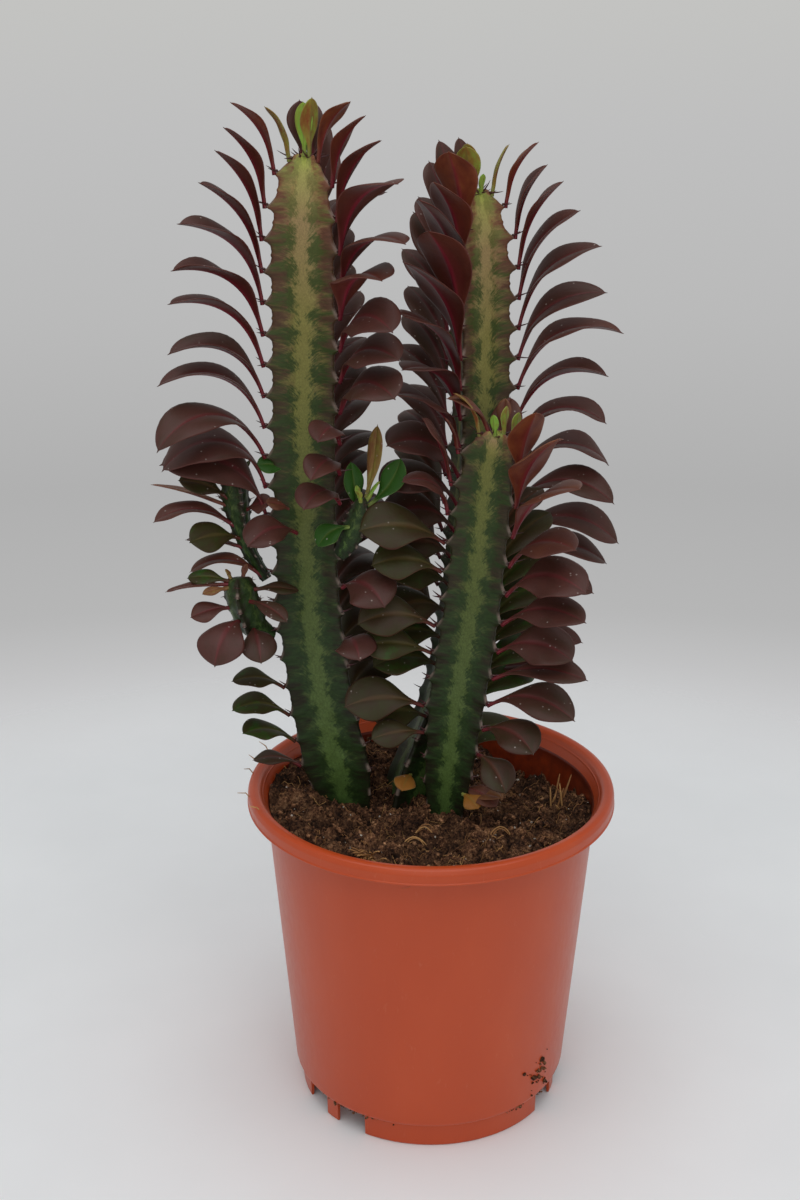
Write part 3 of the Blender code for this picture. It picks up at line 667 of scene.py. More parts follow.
# %% One leaf as points and faces
def leaf_surface(root, azimuth, length, width, rise, droop, turn, fold, sweep, wave, start):
    """Angles in degrees, lengths in metres. start shifts the wave of the margins."""
    place = np.array(root)
    rings = []
    last = 0.0

    def slope_at(t):
        return math.radians(rise + (droop - rise) * (0.45 * t + 0.55 * smoothstep(t)))

    for t in STATIONS:
        middle = 0.5 * (t + last)
        heading_angle = math.radians(azimuth + sweep * middle * middle)
        slope = slope_at(middle)
        heading = np.array([math.cos(heading_angle), math.sin(heading_angle), 0.0])
        place = place + (heading * math.cos(slope) + UPRIGHT * math.sin(slope)) * length * (t - last)
        last = t
        slope = slope_at(t)
        along = heading * math.cos(slope) + UPRIGHT * math.sin(slope)
        above = UPRIGHT * math.cos(slope) - heading * math.sin(slope)
        lit = LIGHT - along * LIGHT.dot(along)
        lit = lit / np.linalg.norm(lit)
        weight = math.radians(turn) * smoothstep(t / 0.5)
        above = above * math.cos(weight) + lit * math.sin(weight)
        above = above - along * above.dot(along)
        above = above / np.linalg.norm(above)
        side = np.cross(along, above)
        blade = smoothstep((t - 0.04) / 0.2)
        half = max(0.5 * width * float(leaf_outline(t)), PETIOLE_RADIUS * (1.0 if t < 0.5 else 0.0))
        bend = math.radians(fold) * blade
        u = ACROSS
        raised = half * (np.abs(u) * math.sin(bend) - 0.18 * blade * u * u)
        ripple = wave * blade * np.abs(u) ** 2.5 * np.sin(math.tau * (1.6 * t + start) + 1.1 * np.sign(u)) * half
        flat = half * u * (1.0 - (1.0 - math.cos(bend)) * np.abs(u))
        body = 1.8 * PETIOLE_RADIUS * (1 - blade) + LEAF_THICKNESS * blade * (1.0 - 0.45 * t)
        body = body * np.sqrt(1.0 - u ** 4 + 1e-9)
        body = np.minimum(body, 2.0 * max(half, 0.2 * MM) * np.sqrt(1.0 - u * u + 1e-9))
        keel = 0.75 * LEAF_THICKNESS * (1.0 - t) * np.exp(-((u * half / (0.9 * MM)) ** 2)) * blade
        groove = 0.18 * LEAF_THICKNESS * np.exp(-((u * half / (0.5 * MM)) ** 2)) * blade
        level = raised + ripple
        upper = place + np.outer(flat, side) + np.outer(level + 0.5 * body - groove, above)
        lower = place + np.outer(flat, side) + np.outer(level - 0.5 * body - keel, above)
        rings.append(np.concatenate([upper, lower[-2:0:-1]]))
    columns = len(rings[0])
    tip = place + along * length * 0.006
    points = np.concatenate([np.concatenate(rings), [tip]])
    faces = ring_faces(len(STATIONS), columns)
    faces.append(list(range(columns))[::-1])
    end = len(points) - 1
    faces.extend([end - columns + k, end - columns + (k + 1) % columns, end] for k in range(columns))
    u = np.concatenate([ACROSS, ACROSS[-2:0:-1]])
    up = np.concatenate([np.ones(len(ACROSS)), np.zeros(len(ACROSS) - 2)])
    up[0] = up[len(ACROSS) - 1] = 0.5
    numbers = {
        "along": np.append(np.repeat(STATIONS, columns), 1.0),
        "across": np.append(np.tile(u, len(STATIONS)), 0.0),
        "upper": np.append(np.tile(up, len(STATIONS)), 0.5),
    }
    return points, faces, numbers


# %% [markdown]
# ## The skin of the leaves
# The cuticle is waxed but not polished: rough enough that the sky only greys the upper sides. Young leaves are
# yellow-green and orange, grown ones wine-red below and dark purple-brown above, old ones olive. One number,
# the leaf's tone, picks the colour of both sides from two ramps: 0 is the youngest, 0.85 old and olive, 0.94 the
# bright green of a shaded shoot, and above 1 a withered yellow. The midrib and the stalk are crimson on red
# leaves and brown on olive ones, and the margin is a thin line, pale on green leaves. Grains of dust lie on
# the upper side, about half a millimetre wide: finer grains, as on the real plant, would not show.

# %% Leaf skin: the two sides
leaf_skin, tree, surface = new_material("waxy_leaf_cuticle", 0.5)
along, across, upper, tone, seed = (add(tree, "Attribute", attribute_name=name).outputs["Fac"]
                                    for name in ("along", "across", "upper", "tone", "seed"))
away = add(tree, "Math", {0: across}, operation="ABSOLUTE")
stretched = add(tree, "Math", {0: along, 1: 5.0}, operation="MULTIPLY")
sideways = add(tree, "Math", {0: across, 1: 1.6}, operation="MULTIPLY")
apart = add(tree, "Math", {0: seed, 1: 53.0}, operation="MULTIPLY")
lengthwise = add(tree, "CombineXYZ", {0: stretched, 1: sideways, 2: apart})
cloud = add(tree, "TexNoise", {"Vector": lengthwise, "Scale": 0.8, "Detail": 4.0, "Roughness": 0.6})
shade = add(tree, "Math", {0: cloud, 1: 0.36, 2: -0.18}, operation="MULTIPLY_ADD")
even = add(tree, "MapRange", {"Value": tone, "From Min": 0.86, "From Max": 0.92, "To Min": 1.0, "To Max": 0.25})
shade = add(tree, "Math", {0: shade, 1: even}, operation="MULTIPLY")
tone_here = add(tree, "Math", {0: tone, 1: shade}, operation="ADD", use_clamp=True)
above_colour, below_colour = (add(tree, "ValToRGB", {"Fac": tone_here}, stops=stops) for stops in (
    ((0.0, "7da640"), (0.1, "86803a"), (0.2, "7a5230"), (0.32, "623a28"), (0.45, "542e24"), (0.56, "4c2a24"),
     (0.64, "44281e"), (0.74, "382816"), (0.86, "343414"), (0.93, "284e14"), (0.99, "284e14"), (1.0, "8c5c24")),
    ((0.0, "84ac44"), (0.1, "8c8038"), (0.2, "86482a"), (0.32, "6c3220"), (0.42, "5c2c20"), (0.5, "50241a"),
     (0.6, "441e16"), (0.75, "341c10"), (0.86, "323414"), (0.93, "346420"), (0.99, "346420"), (1.0, "946428"))))
skin = add(tree, "Mix", {0: upper, 6: below_colour, 7: above_colour}, data_type="RGBA")
old_enough = add(tree, "MapRange", {"Value": tone, "From Min": 0.08, "From Max": 0.3})
still_red = add(tree, "MapRange", {"Value": tone, "From Min": 0.88, "From Max": 0.68})
red_leaf = add(tree, "Math", {0: old_enough, 1: still_red}, operation="MULTIPLY")

# %% Leaf skin: midrib, stalk, margin, dust and relief
rib_width = add(tree, "MapRange", {"Value": along, "From Min": 0.1, "From Max": 0.95, "To Min": 0.34,
                                   "To Max": 0.03})
beside_rib = add(tree, "Math", {0: away, 1: rib_width}, operation="DIVIDE")
rib_line = add(tree, "MapRange", {"Value": beside_rib, "From Min": 1.0, "From Max": 0.2},
               interpolation_type="SMOOTHSTEP")
rib_strength = add(tree, "MapRange", {"Value": upper, "To Min": 0.7, "To Max": 0.2})
rib_share = add(tree, "Math", {0: rib_line, 1: rib_strength}, operation="MULTIPLY")
rib_colour = add(tree, "Mix", {0: red_leaf, 6: "74783c", 7: "8a2436"}, data_type="RGBA")
flush = add(tree, "MapRange", {"Value": beside_rib, "From Min": 4.0, "From Max": 0.5, "To Max": 0.45},
            interpolation_type="SMOOTHSTEP")
under = add(tree, "MapRange", {"Value": upper, "From Min": 1.0, "From Max": 0.0, "To Min": 0.15})
for share in (under, red_leaf, cloud):
    flush = add(tree, "Math", {0: flush, 1: share}, operation="MULTIPLY")
stalk = add(tree, "MapRange", {"Value": along, "From Min": 0.24, "From Max": 0.04, "To Max": 0.85},
            interpolation_type="SMOOTHSTEP")
not_green = add(tree, "MapRange", {"Value": tone, "From Min": 0.93, "From Max": 0.87})
not_green = add(tree, "Math", {0: not_green, 1: old_enough}, operation="MULTIPLY")
stalk_colour = add(tree, "Mix", {0: red_leaf, 6: "4c2a20", 7: "701a2a"}, data_type="RGBA")
stalk_colour = add(tree, "Mix", {0: not_green, 6: "85924a", 7: stalk_colour}, data_type="RGBA")
margin_line = add(tree, "MapRange", {"Value": away, "From Min": 0.93, "From Max": 1.0, "To Max": 0.4})
margin_colour = add(tree, "Mix", {0: not_green, 6: "a0ae70", 7: "7c4640"}, data_type="RGBA")
grain_place = add(tree, "TexCoord").outputs["Object"]
grains = add(tree, "TexVoronoi", {"Vector": grain_place, "Scale": 420.0})
dust = add(tree, "MapRange", {"Value": grains.outputs["Distance"], "From Min": 0.2, "From Max": 0.08})
rare = add(tree, "SeparateXYZ", {0: grains.outputs["Color"]})
rare = add(tree, "MapRange", {"Value": rare, "From Min": 0.82, "From Max": 0.86, "To Max": 0.5})
for share in (rare, upper):
    dust = add(tree, "Math", {0: dust, 1: share}, operation="MULTIPLY")
for share, colour in ((rib_share, rib_colour), (flush, "7c1c30"), (stalk, stalk_colour),
                      (margin_line, margin_colour), (dust, "c0b4ac")):
    skin = add(tree, "Mix", {0: share, 6: skin, 7: colour}, data_type="RGBA")
sheen = add(tree, "MapRange", {"Value": upper, "To Min": 0.12, "To Max": 0.24})
sheen = add(tree, "Math", {0: red_leaf, 1: 0.14, 2: sheen}, operation="MULTIPLY_ADD")
veins = add(tree, "TexNoise", {"Vector": lengthwise, "Scale": 4.0, "Detail": 3.0})
bump = add(tree, "Bump", {"Height": veins, "Strength": 0.18, "Distance": 0.5 * MM})
feed(tree, surface, {"Base Color": skin, "Specular IOR Level": sheen, "Normal": bump})
print("leaf skin nodes:", len(tree.nodes))

# %% [markdown]
# ## Habit of each rib
# Leaves on one rib change slowly from the tip down: short, steep and young at the top, long and arching lower
# down, then small, level and olive. So a few rows per rib are enough, and each leaf reads them at its depth.

# %% Habit rows: tooth, length, width, rise, droop, turn, swing, tone, fold (mm and degrees)
# Tooth 0 is the growing tip; bare teeth carry no leaf.
HABITS = {
    (TALL, "left"): ({13, 14, 15, 16, 17}, [
        (0, 26, 10, 86, 50, 0, 12, 0.14, 14), (1, 36, 13, 86, 36, 0, 5, 0.36, 22),
        (2, 39, 14, 88, 44, 0, 5, 0.52, 28), (3, 45, 16, 87, 38, 0, 5, 0.55, 32),
        (4, 48, 18, 84, 22, 4, 5, 0.57, 30), (5, 57, 20, 84, 2, 6, 5, 0.58, 30),
        (6, 53, 20, 80, -8, 6, 5, 0.58, 30), (7, 60, 21, 78, 0, 6, 5, 0.58, 28),
        (8, 53, 21, 76, -30, 6, 5, 0.59, 28), (9, 61, 21, 76, -22, 8, 5, 0.6, 26),
        (10, 63, 23, 70, -52, 18, 4, 0.6, 18), (11, 64, 25, 78, -42, 36, 6, 0.62, 10),
        (12, 62, 26, 78, -28, 44, 6, 0.62, 8), (18, 27, 14, 44, -2, 30, 0, 0.85, 10),
        (19, 31, 15, 44, -4, 26, 0, 0.86, 10), (20, 29, 15, 46, -2, 24, 0, 0.85, 10),
        (21, 24, 11, 40, -6, 24, 0, 0.72, 10)]),
    (TALL, "front"): ({12, 13, 15, 17, 18, 19, 20, 21, 22, 23}, [
        (0, 30, 13, 84, 30, 2, 8, 0.26, 16), (1, 34, 15, 86, 32, 2, 8, 0.36, 18),
        (2, 41, 16, 86, 26, 2, 8, 0.42, 20), (3, 50, 26, 82, 0, 4, 6, 0.46, 14),
        (4, 48, 25, 76, -20, 6, 2, 0.48, 14), (5, 42, 28, 80, -14, 6, -6, 0.45, 12),
        (6, 44, 25, 74, -24, 34, 2, 0.56, 10), (7, 41, 25, 70, -26, 36, 0, 0.58, 10),
        (8, 43, 25, 69, -31, 37, -2, 0.6, 10), (9, 31, 16, 62, -40, 20, -66, 0.56, 14),
        (10, 30, 15, 60, -36, 20, -70, 0.54, 14), (11, 32, 18, 56, -46, 20, -76, 0.56, 14),
        (14, 30, 24, 40, -40, 50, 10, 0.58, 8), (16, 26, 20, 40, -50, 30, -20, 0.6, 8)]),
    (TALL, "back"): (set(), [
        (0, 24, 10, 88, 70, 10, 20, 0.62, 16), (2, 36, 15, 87, 56, 10, 0, 0.6, 16),
        (3, 46, 17, 82, 4, 10, -50, 0.6, 14), (4, 42, 17, 84, 36, 10, -10, 0.6, 16),
        (5, 46, 18, 84, 30, 10, -10, 0.6, 16), (10, 46, 20, 70, 0, 10, -20, 0.64, 14),
        (13, 46, 24, 60, -10, 16, -20, 0.7, 12), (16, 44, 26, 50, -20, 20, -20, 0.76, 10),
        (20, 42, 26, 44, -20, 20, -20, 0.8, 10), (23, 38, 22, 40, -20, 20, -20, 0.84, 10)]),
    (MIDDLE, "right"): ({15, 18, 19, 20}, [
        (0, 22, 8, 88, 54, 0, -14, 0.16, 14), (1, 31, 12, 87, 44, 2, -12, 0.34, 22),
        (2, 36, 15, 88, 50, 4, -12, 0.44, 26), (3, 42, 17, 87, 42, 8, -14, 0.48, 26),
        (4, 47, 18, 85, 30, 16, -14, 0.56, 24), (5, 56, 20, 82, 6, 22, -14, 0.58, 22),
        (6, 57, 21, 78, -6, 20, -14, 0.58, 22), (7, 58, 22, 76, -12, 14, -15, 0.46, 26),
        (8, 51, 22, 72, -24, 8, -16, 0.57, 30), (9, 53, 22, 70, -36, 12, -16, 0.58, 26),
        (10, 52, 22, 60, -48, 16, -17, 0.6, 22), (12, 55, 22, 36, -40, 22, -18, 0.6, 18),
        (14, 48, 18, 38, -30, 26, -20, 0.62, 14), (17, 40, 15, 30, -26, 30, -20, 0.6, 12)]),
    (MIDDLE, "front"): ({17, 19, 20}, [
        (0, 24, 12, 88, 62, 4, -6, 0.14, 12), (1, 41, 19, 86, 42, 4, -12, 0.27, 12),
        (2, 45, 21, 86, 36, 4, -14, 0.36, 13), (3, 55, 23, 85, 33, 4, -24, 0.42, 14),
        (4, 56, 25, 84, 30, 4, -12, 0.46, 14), (5, 55, 25, 82, 20, 6, -24, 0.5, 14),
        (7, 52, 26, 78, 2, 10, -28, 0.52, 14), (9, 48, 25, 68, -14, 24, -38, 0.56, 12),
        (11, 43, 24, 60, -20, 40, -40, 0.7, 10), (13, 38, 22, 50, -26, 46, -44, 0.8, 10),
        (17, 32, 20, 36, -24, 40, -40, 0.84, 10)]),
    (MIDDLE, "back"): ({16, 18, 19, 20}, [
        (0, 24, 10, 88, 74, 10, 10, 0.6, 14), (1, 34, 14, 87, 60, 10, 10, 0.62, 14),
        (4, 46, 19, 82, 30, 10, 0, 0.62, 14), (9, 48, 20, 70, 0, 12, 0, 0.66, 14),
        (15, 42, 20, 46, -16, 20, 10, 0.8, 12), (20, 36, 18, 40, -20, 20, 10, 0.84, 12)]),
    (SHORT, "left"): ({6, 9, 12, 13, 14, 15, 16}, [
        (0, 24, 7, 88, 30, 6, 0, 0.2, 14), (1, 17, 5, 86, 50, 6, 0, 0.4, 14),
        (2, 32, 15, 84, 46, 10, 0, 0.5, 14), (3, 33, 15, 88, -6, 20, 4, 0.54, 12),
        (4, 40, 23, 40, -20, 60, 0, 0.77, 10), (5, 32, 18, 40, -16, 60, 0, 0.81, 8),
        (7, 38, 21, 36, -20, 62, -2, 0.8, 10), (8, 34, 18, 30, -20, 60, -2, 0.84, 10),
        (10, 37, 21, 26, -14, 64, -2, 0.8, 10), (11, 27, 14, 16, -16, 60, 0, 0.8, 8)]),
    (SHORT, "front"): ({12, 13, 14, 15}, [
        (0, 16, 7, 88, 74, 4, 20, 0.04, 12), (1, 33, 20, 87, 52, 4, 2, 0.24, 12),
        (2, 41, 29, 80, 34, 4, 2, 0.3, 10), (3, 46, 29, 72, 12, 6, 6, 0.35, 10),
        (4, 42, 22, 60, -18, 26, 14, 0.48, 10), (5, 44, 23, 54, -20, 38, 16, 0.54, 10),
        (6, 46, 20, 44, -10, 40, 16, 0.58, 10), (7, 42, 22, 40, -26, 46, 18, 0.62, 10),
        (8, 46, 15, 34, -16, 24, 16, 0.62, 14), (9, 45, 20, 38, -34, 38, 20, 0.64, 12),
        (10, 34, 19, 30, -30, 44, 10, 0.68, 10), (11, 28, 16, 10, -60, 40, -10, 0.74, 10)]),
    (SHORT, "back"): ({11, 13}, [
        (0, 16, 7, 88, 74, 8, 0, 0.3, 12), (1, 32, 14, 86, 54, 10, 0, 0.5, 14),
        (5, 46, 19, 56, 0, 24, -34, 0.82, 14), (9, 48, 20, 44, -14, 34, -38, 0.87, 12),
        (14, 36, 18, 34, -22, 30, -20, 0.86, 12)]),
}
SPREAD = random.Random(7)


# %% Grow the leaves: the lower on the stem, the more disorder
def grow_leaf(name, root, azimuth, row, ease):
    """row is (length, width, rise, droop, turn, tone, fold) in mm and degrees; ease scales the disorder."""
    length, width, rise, droop, turn, tone, fold = row
    points, faces, numbers = leaf_surface(
        root, azimuth + ease * SPREAD.uniform(-6, 6), length * MM * SPREAD.uniform(0.94, 1.05),
        width * MM * SPREAD.uniform(0.94, 1.06), rise, droop + ease * SPREAD.uniform(-9, 9),
        turn + ease * SPREAD.uniform(-8, 8), fold + SPREAD.uniform(-3, 3), ease * SPREAD.uniform(-14, 14),
        SPREAD.uniform(0.05, 0.14), SPREAD.random())
    numbers["tone"] = np.full(len(points), tone + SPREAD.uniform(-0.03, 0.03))
    numbers["seed"] = np.full(len(points), SPREAD.random())
    leaf = make_piece(name, points, faces, leaf_skin, numbers)
    return leaf


leaves = []
for (stem, rib_name), (bare, habit) in HABITS.items():
    rib = stem.rib_names.index(rib_name)
    for tooth, depth in enumerate(stem.teeth(rib, stem.length - 40 * MM)):
        if tooth in bare:
            continue
        length, width, rise, *bend, swing, tone, fold = read_keys(habit, tooth)
        out = stem.outward(depth, stem.ribs[rib])
        steep = math.sin(math.radians(rise))
        root = stem.tooth_tip(depth, rib) + out * (PETIOLE_RADIUS * (steep - 0.6))
        root.z -= 0.5 * MM * steep
        leaves.append(grow_leaf(f"{stem.name[5:]}_{rib_name}_leaf_{tooth:02d}", root,
                                math.degrees(stem.ribs[rib]) + swing, (length, width, rise, *bend, tone, fold),
                                ease=min(0.6 + 0.06 * tooth, 1.5)))
print(len(leaves), "leaves")

# %% Each packed leaf is stood for by the fine leaf nearest to it
free = {leaf.name: leaf for leaf in leaves}
middles = {leaf.name: sum((Vector(c) for c in leaf.bound_box), Vector()) / 8 for leaf in leaves}
widest = 0.0
for node in sorted(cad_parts):
    if node.startswith("leaf_"):
        low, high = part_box(node)
        nearest = min(free, key=lambda name: (middles[name] - 0.5 * (low + high)).length)
        widest = max(widest, (middles[nearest] - 0.5 * (low + high)).length)
        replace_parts(free.pop(nearest), node)
print("farthest stand-in, mm:", round(widest / MM, 1))

# %% [markdown]
# ## Side shoots
# Three young stems branch from old teeth low on the tall stem. They have the same three toothed ribs, much
# closer together, and carry leaves of every age: olive, grey-purple, red and one bunch still bright green.
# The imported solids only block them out; here each gets the stem's own rule with a finer pitch.

# %% The three shoots: axis points from tip to root (mm)
UPPER_SHOOT = Stem(
    "side_shoot_upper_left",
    [(-86.0, 3, 301), (-85.6, 3, 292), (-84.0, 2.5, 280.5), (-80.5, 1.5, 268.5), (-72.9, -1.7, 256.4)],
    {"left": 170, "front": 290, "back": 50},
    [(0.0, 4.6, 0.5), (0.12, 7.0, 1.0), (0.3, 6.4, 0.9), (0.6, 4.2, 0.6), (1.0, 2.8, 0.2)], 3.0, 5.4, 1.8, 0.35)
LOWER_SHOOT = Stem(
    "side_shoot_left",
    [(-85.0, -11.0, 259), (-84.4, -10.5, 251), (-82.4, -8.5, 242), (-79.2, -5.5, 234.5), (-71.2, -2.8, 229.1)],
    {"left": 150, "front": 270, "back": 30},
    [(0.0, 5.4, 0.4), (0.12, 8.2, 0.7), (0.6, 8.2, 0.6), (0.85, 5.4, 0.3), (1.0, 3.4, 0.0)], 3.0, 6.4, 1.6, 0.45)
GREEN_SHOOT = Stem(
    "side_shoot_green",
    [(-30.4, -12.6, 296), (-30.8, -12.7, 291), (-32.0, -12.8, 286), (-35.4, -12.4, 278.5), (-40.2, -10.3, 270.3)],
    {"left": 180, "front": 300, "back": 60},
    [(0.0, 3.0, 0.4), (0.2, 5.2, 0.8), (0.6, 6.0, 0.6), (1.0, 3.4, 0.0)], 2.5, 5.0, 1.6, 0.4)

# %% Grow the shoots and their spines
for shoot in (UPPER_SHOOT, LOWER_SHOOT, GREEN_SHOOT):
    name = shoot.name.replace("side_shoot", "young_shoot")
    grow_stem(shoot, name, ages=((0.0, 1.0), (0.6, 0.98)), edge_start=0.42, step=0.4 * MM)
    spines(name + "_spines", tooth_thorns(shoot, rooted_end=12, above=0.6, sunk=0.7, longest=2.4, shortest=2.4))

# %% [markdown]
# ## Leaves of the shoots, and the odd ones
# These leaves follow no rib's habit, so each gets its own row: where it leaves the stem, which way it points,
# how it bends and how old it is. The last few grow from the bases of the big stems just above the soil.

# %% Rows: depth, azimuth, length, width, rise, droop, turn, tone, fold (mm and degrees)
ODD_LEAVES = {
    UPPER_SHOOT: [
        (1, 158, 24, 9, 66, 40, 30, 0.8, 10), (9, 196, 25, 12, 45, 5, 60, 0.8, 10),
        (13, 172, 36, 11, 22, 4, -14, 0.3, 14), (22, 186, 39, 16, 42, -34, 10, 0.44, 22),
        (27, 216, 27, 15, 26, -10, 70, 0.83, 10), (32, 172, 27, 11, 18, -6, 0, 0.62, 12),
        (14, 335, 15, 10, 40, 0, 50, 0.48, 10), (0.5, 100, 11, 6, 80, 70, 0, 0.86, 10),
        (0.5, 20, 9, 5, 70, 60, 0, 0.86, 10), (0.5, 230, 8, 4, 75, 60, 10, 0.84, 10),
        (47, 181, 36, 12, 44, -36, 14, 0.42, 18)],
    LOWER_SHOOT: [
        (1, 176, 20, 9, 20, -10, 40, 0.86, 10), (2, 182, 28, 9, 4, -14, 0, 0.42, 16),
        (3, 204, 13, 5, 4, -12, 40, 0.2, 10), (13, 196, 20, 11, 4, -24, 50, 0.46, 10),
        (19, 246, 30, 21, 14, -74, 20, 0.6, 8), (24, 284, 24, 16, 10, -66, 20, 0.66, 8),
        (5, 12, 22, 8, 6, -18, 30, 0.76, 10), (9, 318, 26, 9, 10, -24, 40, 0.7, 12),
        (0.5, 60, 7, 4, 70, 50, 0, 0.3, 10), (0.5, 160, 6, 3, 70, 50, 0, 0.2, 10)],
    GREEN_SHOOT: [
        (8, 118, 25, 10, 78, 74, 0, 0.94, 12), (3, 14, 25, 12, 34, 74, 60, 0.95, 12),
        (12, 205, 19, 12, 10, -54, 50, 0.94, 12), (0.5, 10, 10, 4, 62, 50, 0, 0.02, 10),
        (0.5, 130, 7, 3, 76, 60, 0, 0.03, 10), (0.5, 250, 6, 3, 76, 60, 0, 0.04, 10),
        (1, 52, 34, 9, 64, 84, 0, 0.15, 14)],
    TALL: [
        (0.3, 262, 21, 8, 89, 86, 6, 0.02, 16), (0.4, 300, 25, 9, 89, 78, 8, 0.13, 16),
        (1.5, 120, 22, 12, 89, 82, 8, 0.6, 12), (132, 196, 15, 10, 26, 0, 62, 0.93, 10),
        (150, 206, 14, 8, 34, 10, 40, 0.34, 10), (160, 228, 31, 18, 36, -36, 44, 0.55, 16)],
    MIDDLE: [
        (0.5, 232, 22, 10, 86, 66, 8, 0.15, 14), (1.0, 300, 9, 4, 84, 70, 10, 0.06, 12),
        (266, 254, 15, 11, 20, -30, 50, 1.1, 8)],
    SHORT: [
        (0.5, 246, 10, 5, 84, 70, 20, 0.03, 12), (0.5, 312, 14, 7, 86, 80, 14, 0.08, 14),
        (1.0, 186, 27, 11, 78, 6, 10, 0.38, 16), (171, 304, 13, 10, 10, -40, 40, 1.1, 8),
        (170, 322, 22, 12, 14, -34, 30, 0.4, 10), (176, 322, 24, 9, 34, 0, 10, 0.26, 12)],
}

# %% Grow them
for stem, rows in ODD_LEAVES.items():
    for number, (depth, azimuth, *row) in enumerate(rows):
        depth = min(depth * MM, stem.length - 1 * MM)
        withered = row[5] > 1.0
        reach = (0.9 if withered else 0.55) * stem.radius(depth)[0]
        root = AXIS + stem.centre(depth) + polar(reach, math.radians(azimuth))
        grow_leaf(f"{stem.name}_odd_leaf_{number:02d}", root, azimuth, row, ease=0.3)
print(sum(len(rows) for rows in ODD_LEAVES.values()), "odd leaves")

# %% [markdown]
# ## The nursery pot
# A thin pot of injection-moulded polypropylene, turned about its axis like the mould that made it: a rolled
# lip with an open skirt, a wall that tapers to the foot, and a foot ring cut by three pairs of drain
# notches. A Screw modifier could turn the profile, but computing the rings here keeps every radius readable.
# Corners are rounded by a few points each, because a moulded edge is never knife sharp.

# %% Pot sizes
LIP_HEIGHT = 7.5 * MM
MOUTH_RADIUS = 78.9 * MM
WALL = 1.2 * MM
WALL_TOP_RADIUS = 76.4 * MM
WALL_BOTTOM_RADIUS = 65.2 * MM
FOOT_RADIUS = 62.0 * MM
FOOT_HEIGHT = 12.7 * MM
FLOOR_Z = 9.5 * MM
POT_SIDES = 144
NOTCH_GROUP_START = math.radians(72.0)
NOTCH_WIDTH = math.radians(15.0)
SMALL_FOOT_WIDTH = math.radians(7.0)
LIP_BOTTOM = POT_HEIGHT - LIP_HEIGHT
WALL_SLOPE = (WALL_TOP_RADIUS - WALL_BOTTOM_RADIUS) / (LIP_BOTTOM - FOOT_HEIGHT)


# %% Rounded profiles
def rounded(profile, radius, steps=4):
    """The open profile with each inner corner replaced by an arc of about that radius."""
    rounded_points = [profile[0]]
    for before, corner, after in zip(profile, profile[1:], profile[2:]):
        before, corner, after = (np.array(p, float) for p in (before, corner, after))
        cut = min(radius, 0.45 * np.linalg.norm(before - corner), 0.45 * np.linalg.norm(after - corner))
        start = corner + (before - corner) / np.linalg.norm(before - corner) * cut
        end = corner + (after - corner) / np.linalg.norm(after - corner) * cut
        for k in range(steps + 1):
            t = k / steps
            rounded_points.append(tuple((1 - t) ** 2 * start + 2 * t * (1 - t) * corner + t * t * end))
    return rounded_points + [profile[-1]]


# %% Pot shell, with its drain notches cut
SKIRT = 1.4 * MM
outside = [
    (2.0 * MM, FLOOR_Z), (FOOT_RADIUS - WALL - 0.3 * MM, FLOOR_Z), (FOOT_RADIUS - WALL, 0.0), (FOOT_RADIUS, 0.0),
    (FOOT_RADIUS + 0.3 * MM, FOOT_HEIGHT - 0.6 * MM), (WALL_BOTTOM_RADIUS - 0.6 * MM, FOOT_HEIGHT - 0.3 * MM),
    (WALL_BOTTOM_RADIUS, FOOT_HEIGHT + 1.0 * MM), (WALL_TOP_RADIUS, LIP_BOTTOM),
    (WALL_TOP_RADIUS + 1.4 * MM, POT_HEIGHT - 3.0 * MM), (LIP_RADIUS - SKIRT - 0.4 * MM, POT_HEIGHT - 2.2 * MM),
    (LIP_RADIUS - SKIRT, LIP_BOTTOM), (LIP_RADIUS, LIP_BOTTOM), (LIP_RADIUS, LIP_BOTTOM + 0.7 * MM),
    (LIP_RADIUS - 0.35 * MM, LIP_BOTTOM + 1.0 * MM), (LIP_RADIUS - 0.25 * MM, POT_HEIGHT - 2.8 * MM),
    (LIP_RADIUS - 1.0 * MM, POT_HEIGHT - 0.7 * MM), (LIP_RADIUS - 2.8 * MM, POT_HEIGHT),
    (MOUTH_RADIUS + 1.2 * MM, POT_HEIGHT - 0.3 * MM), (MOUTH_RADIUS, POT_HEIGHT - 1.4 * MM),
    (MOUTH_RADIUS - 1.4 * MM, POT_HEIGHT - 4.0 * MM), (WALL_TOP_RADIUS - WALL, LIP_BOTTOM - 1.0 * MM),
    (WALL_BOTTOM_RADIUS - WALL, FOOT_HEIGHT + WALL), (FOOT_RADIUS - WALL, FOOT_HEIGHT + 0.6 * MM),
    (FOOT_RADIUS - WALL - 0.3 * MM, FLOOR_Z + WALL), (2.0 * MM, FLOOR_Z + WALL),
]
profile = rounded(outside, 0.6 * MM)
points = [round_pot(r, a, z) for r, z in profile for a in full_turn(POT_SIDES)]
faces = capped_faces(len(profile), POT_SIDES)
print("pot profile:", len(profile), "points")


def wedge(middle, width, low, high, inner, outer):
    """Points and faces of a slice of a ring, for cutting a notch."""
    turns = [middle + width * (share - 0.5) for share in np.linspace(0, 1, 5)]
    ring = [(inner, turns[0]), *[(outer, turn) for turn in turns], (inner, turns[-1])]
    corners = [round_pot(r, a, z) for z in (low, high) for r, a in ring]
    count = len(ring)
    sides = [[k, (k + 1) % count, (k + 1) % count + count, k + count] for k in range(count)]
    return corners, [list(range(count))[::-1], list(range(count, 2 * count)), *sides]


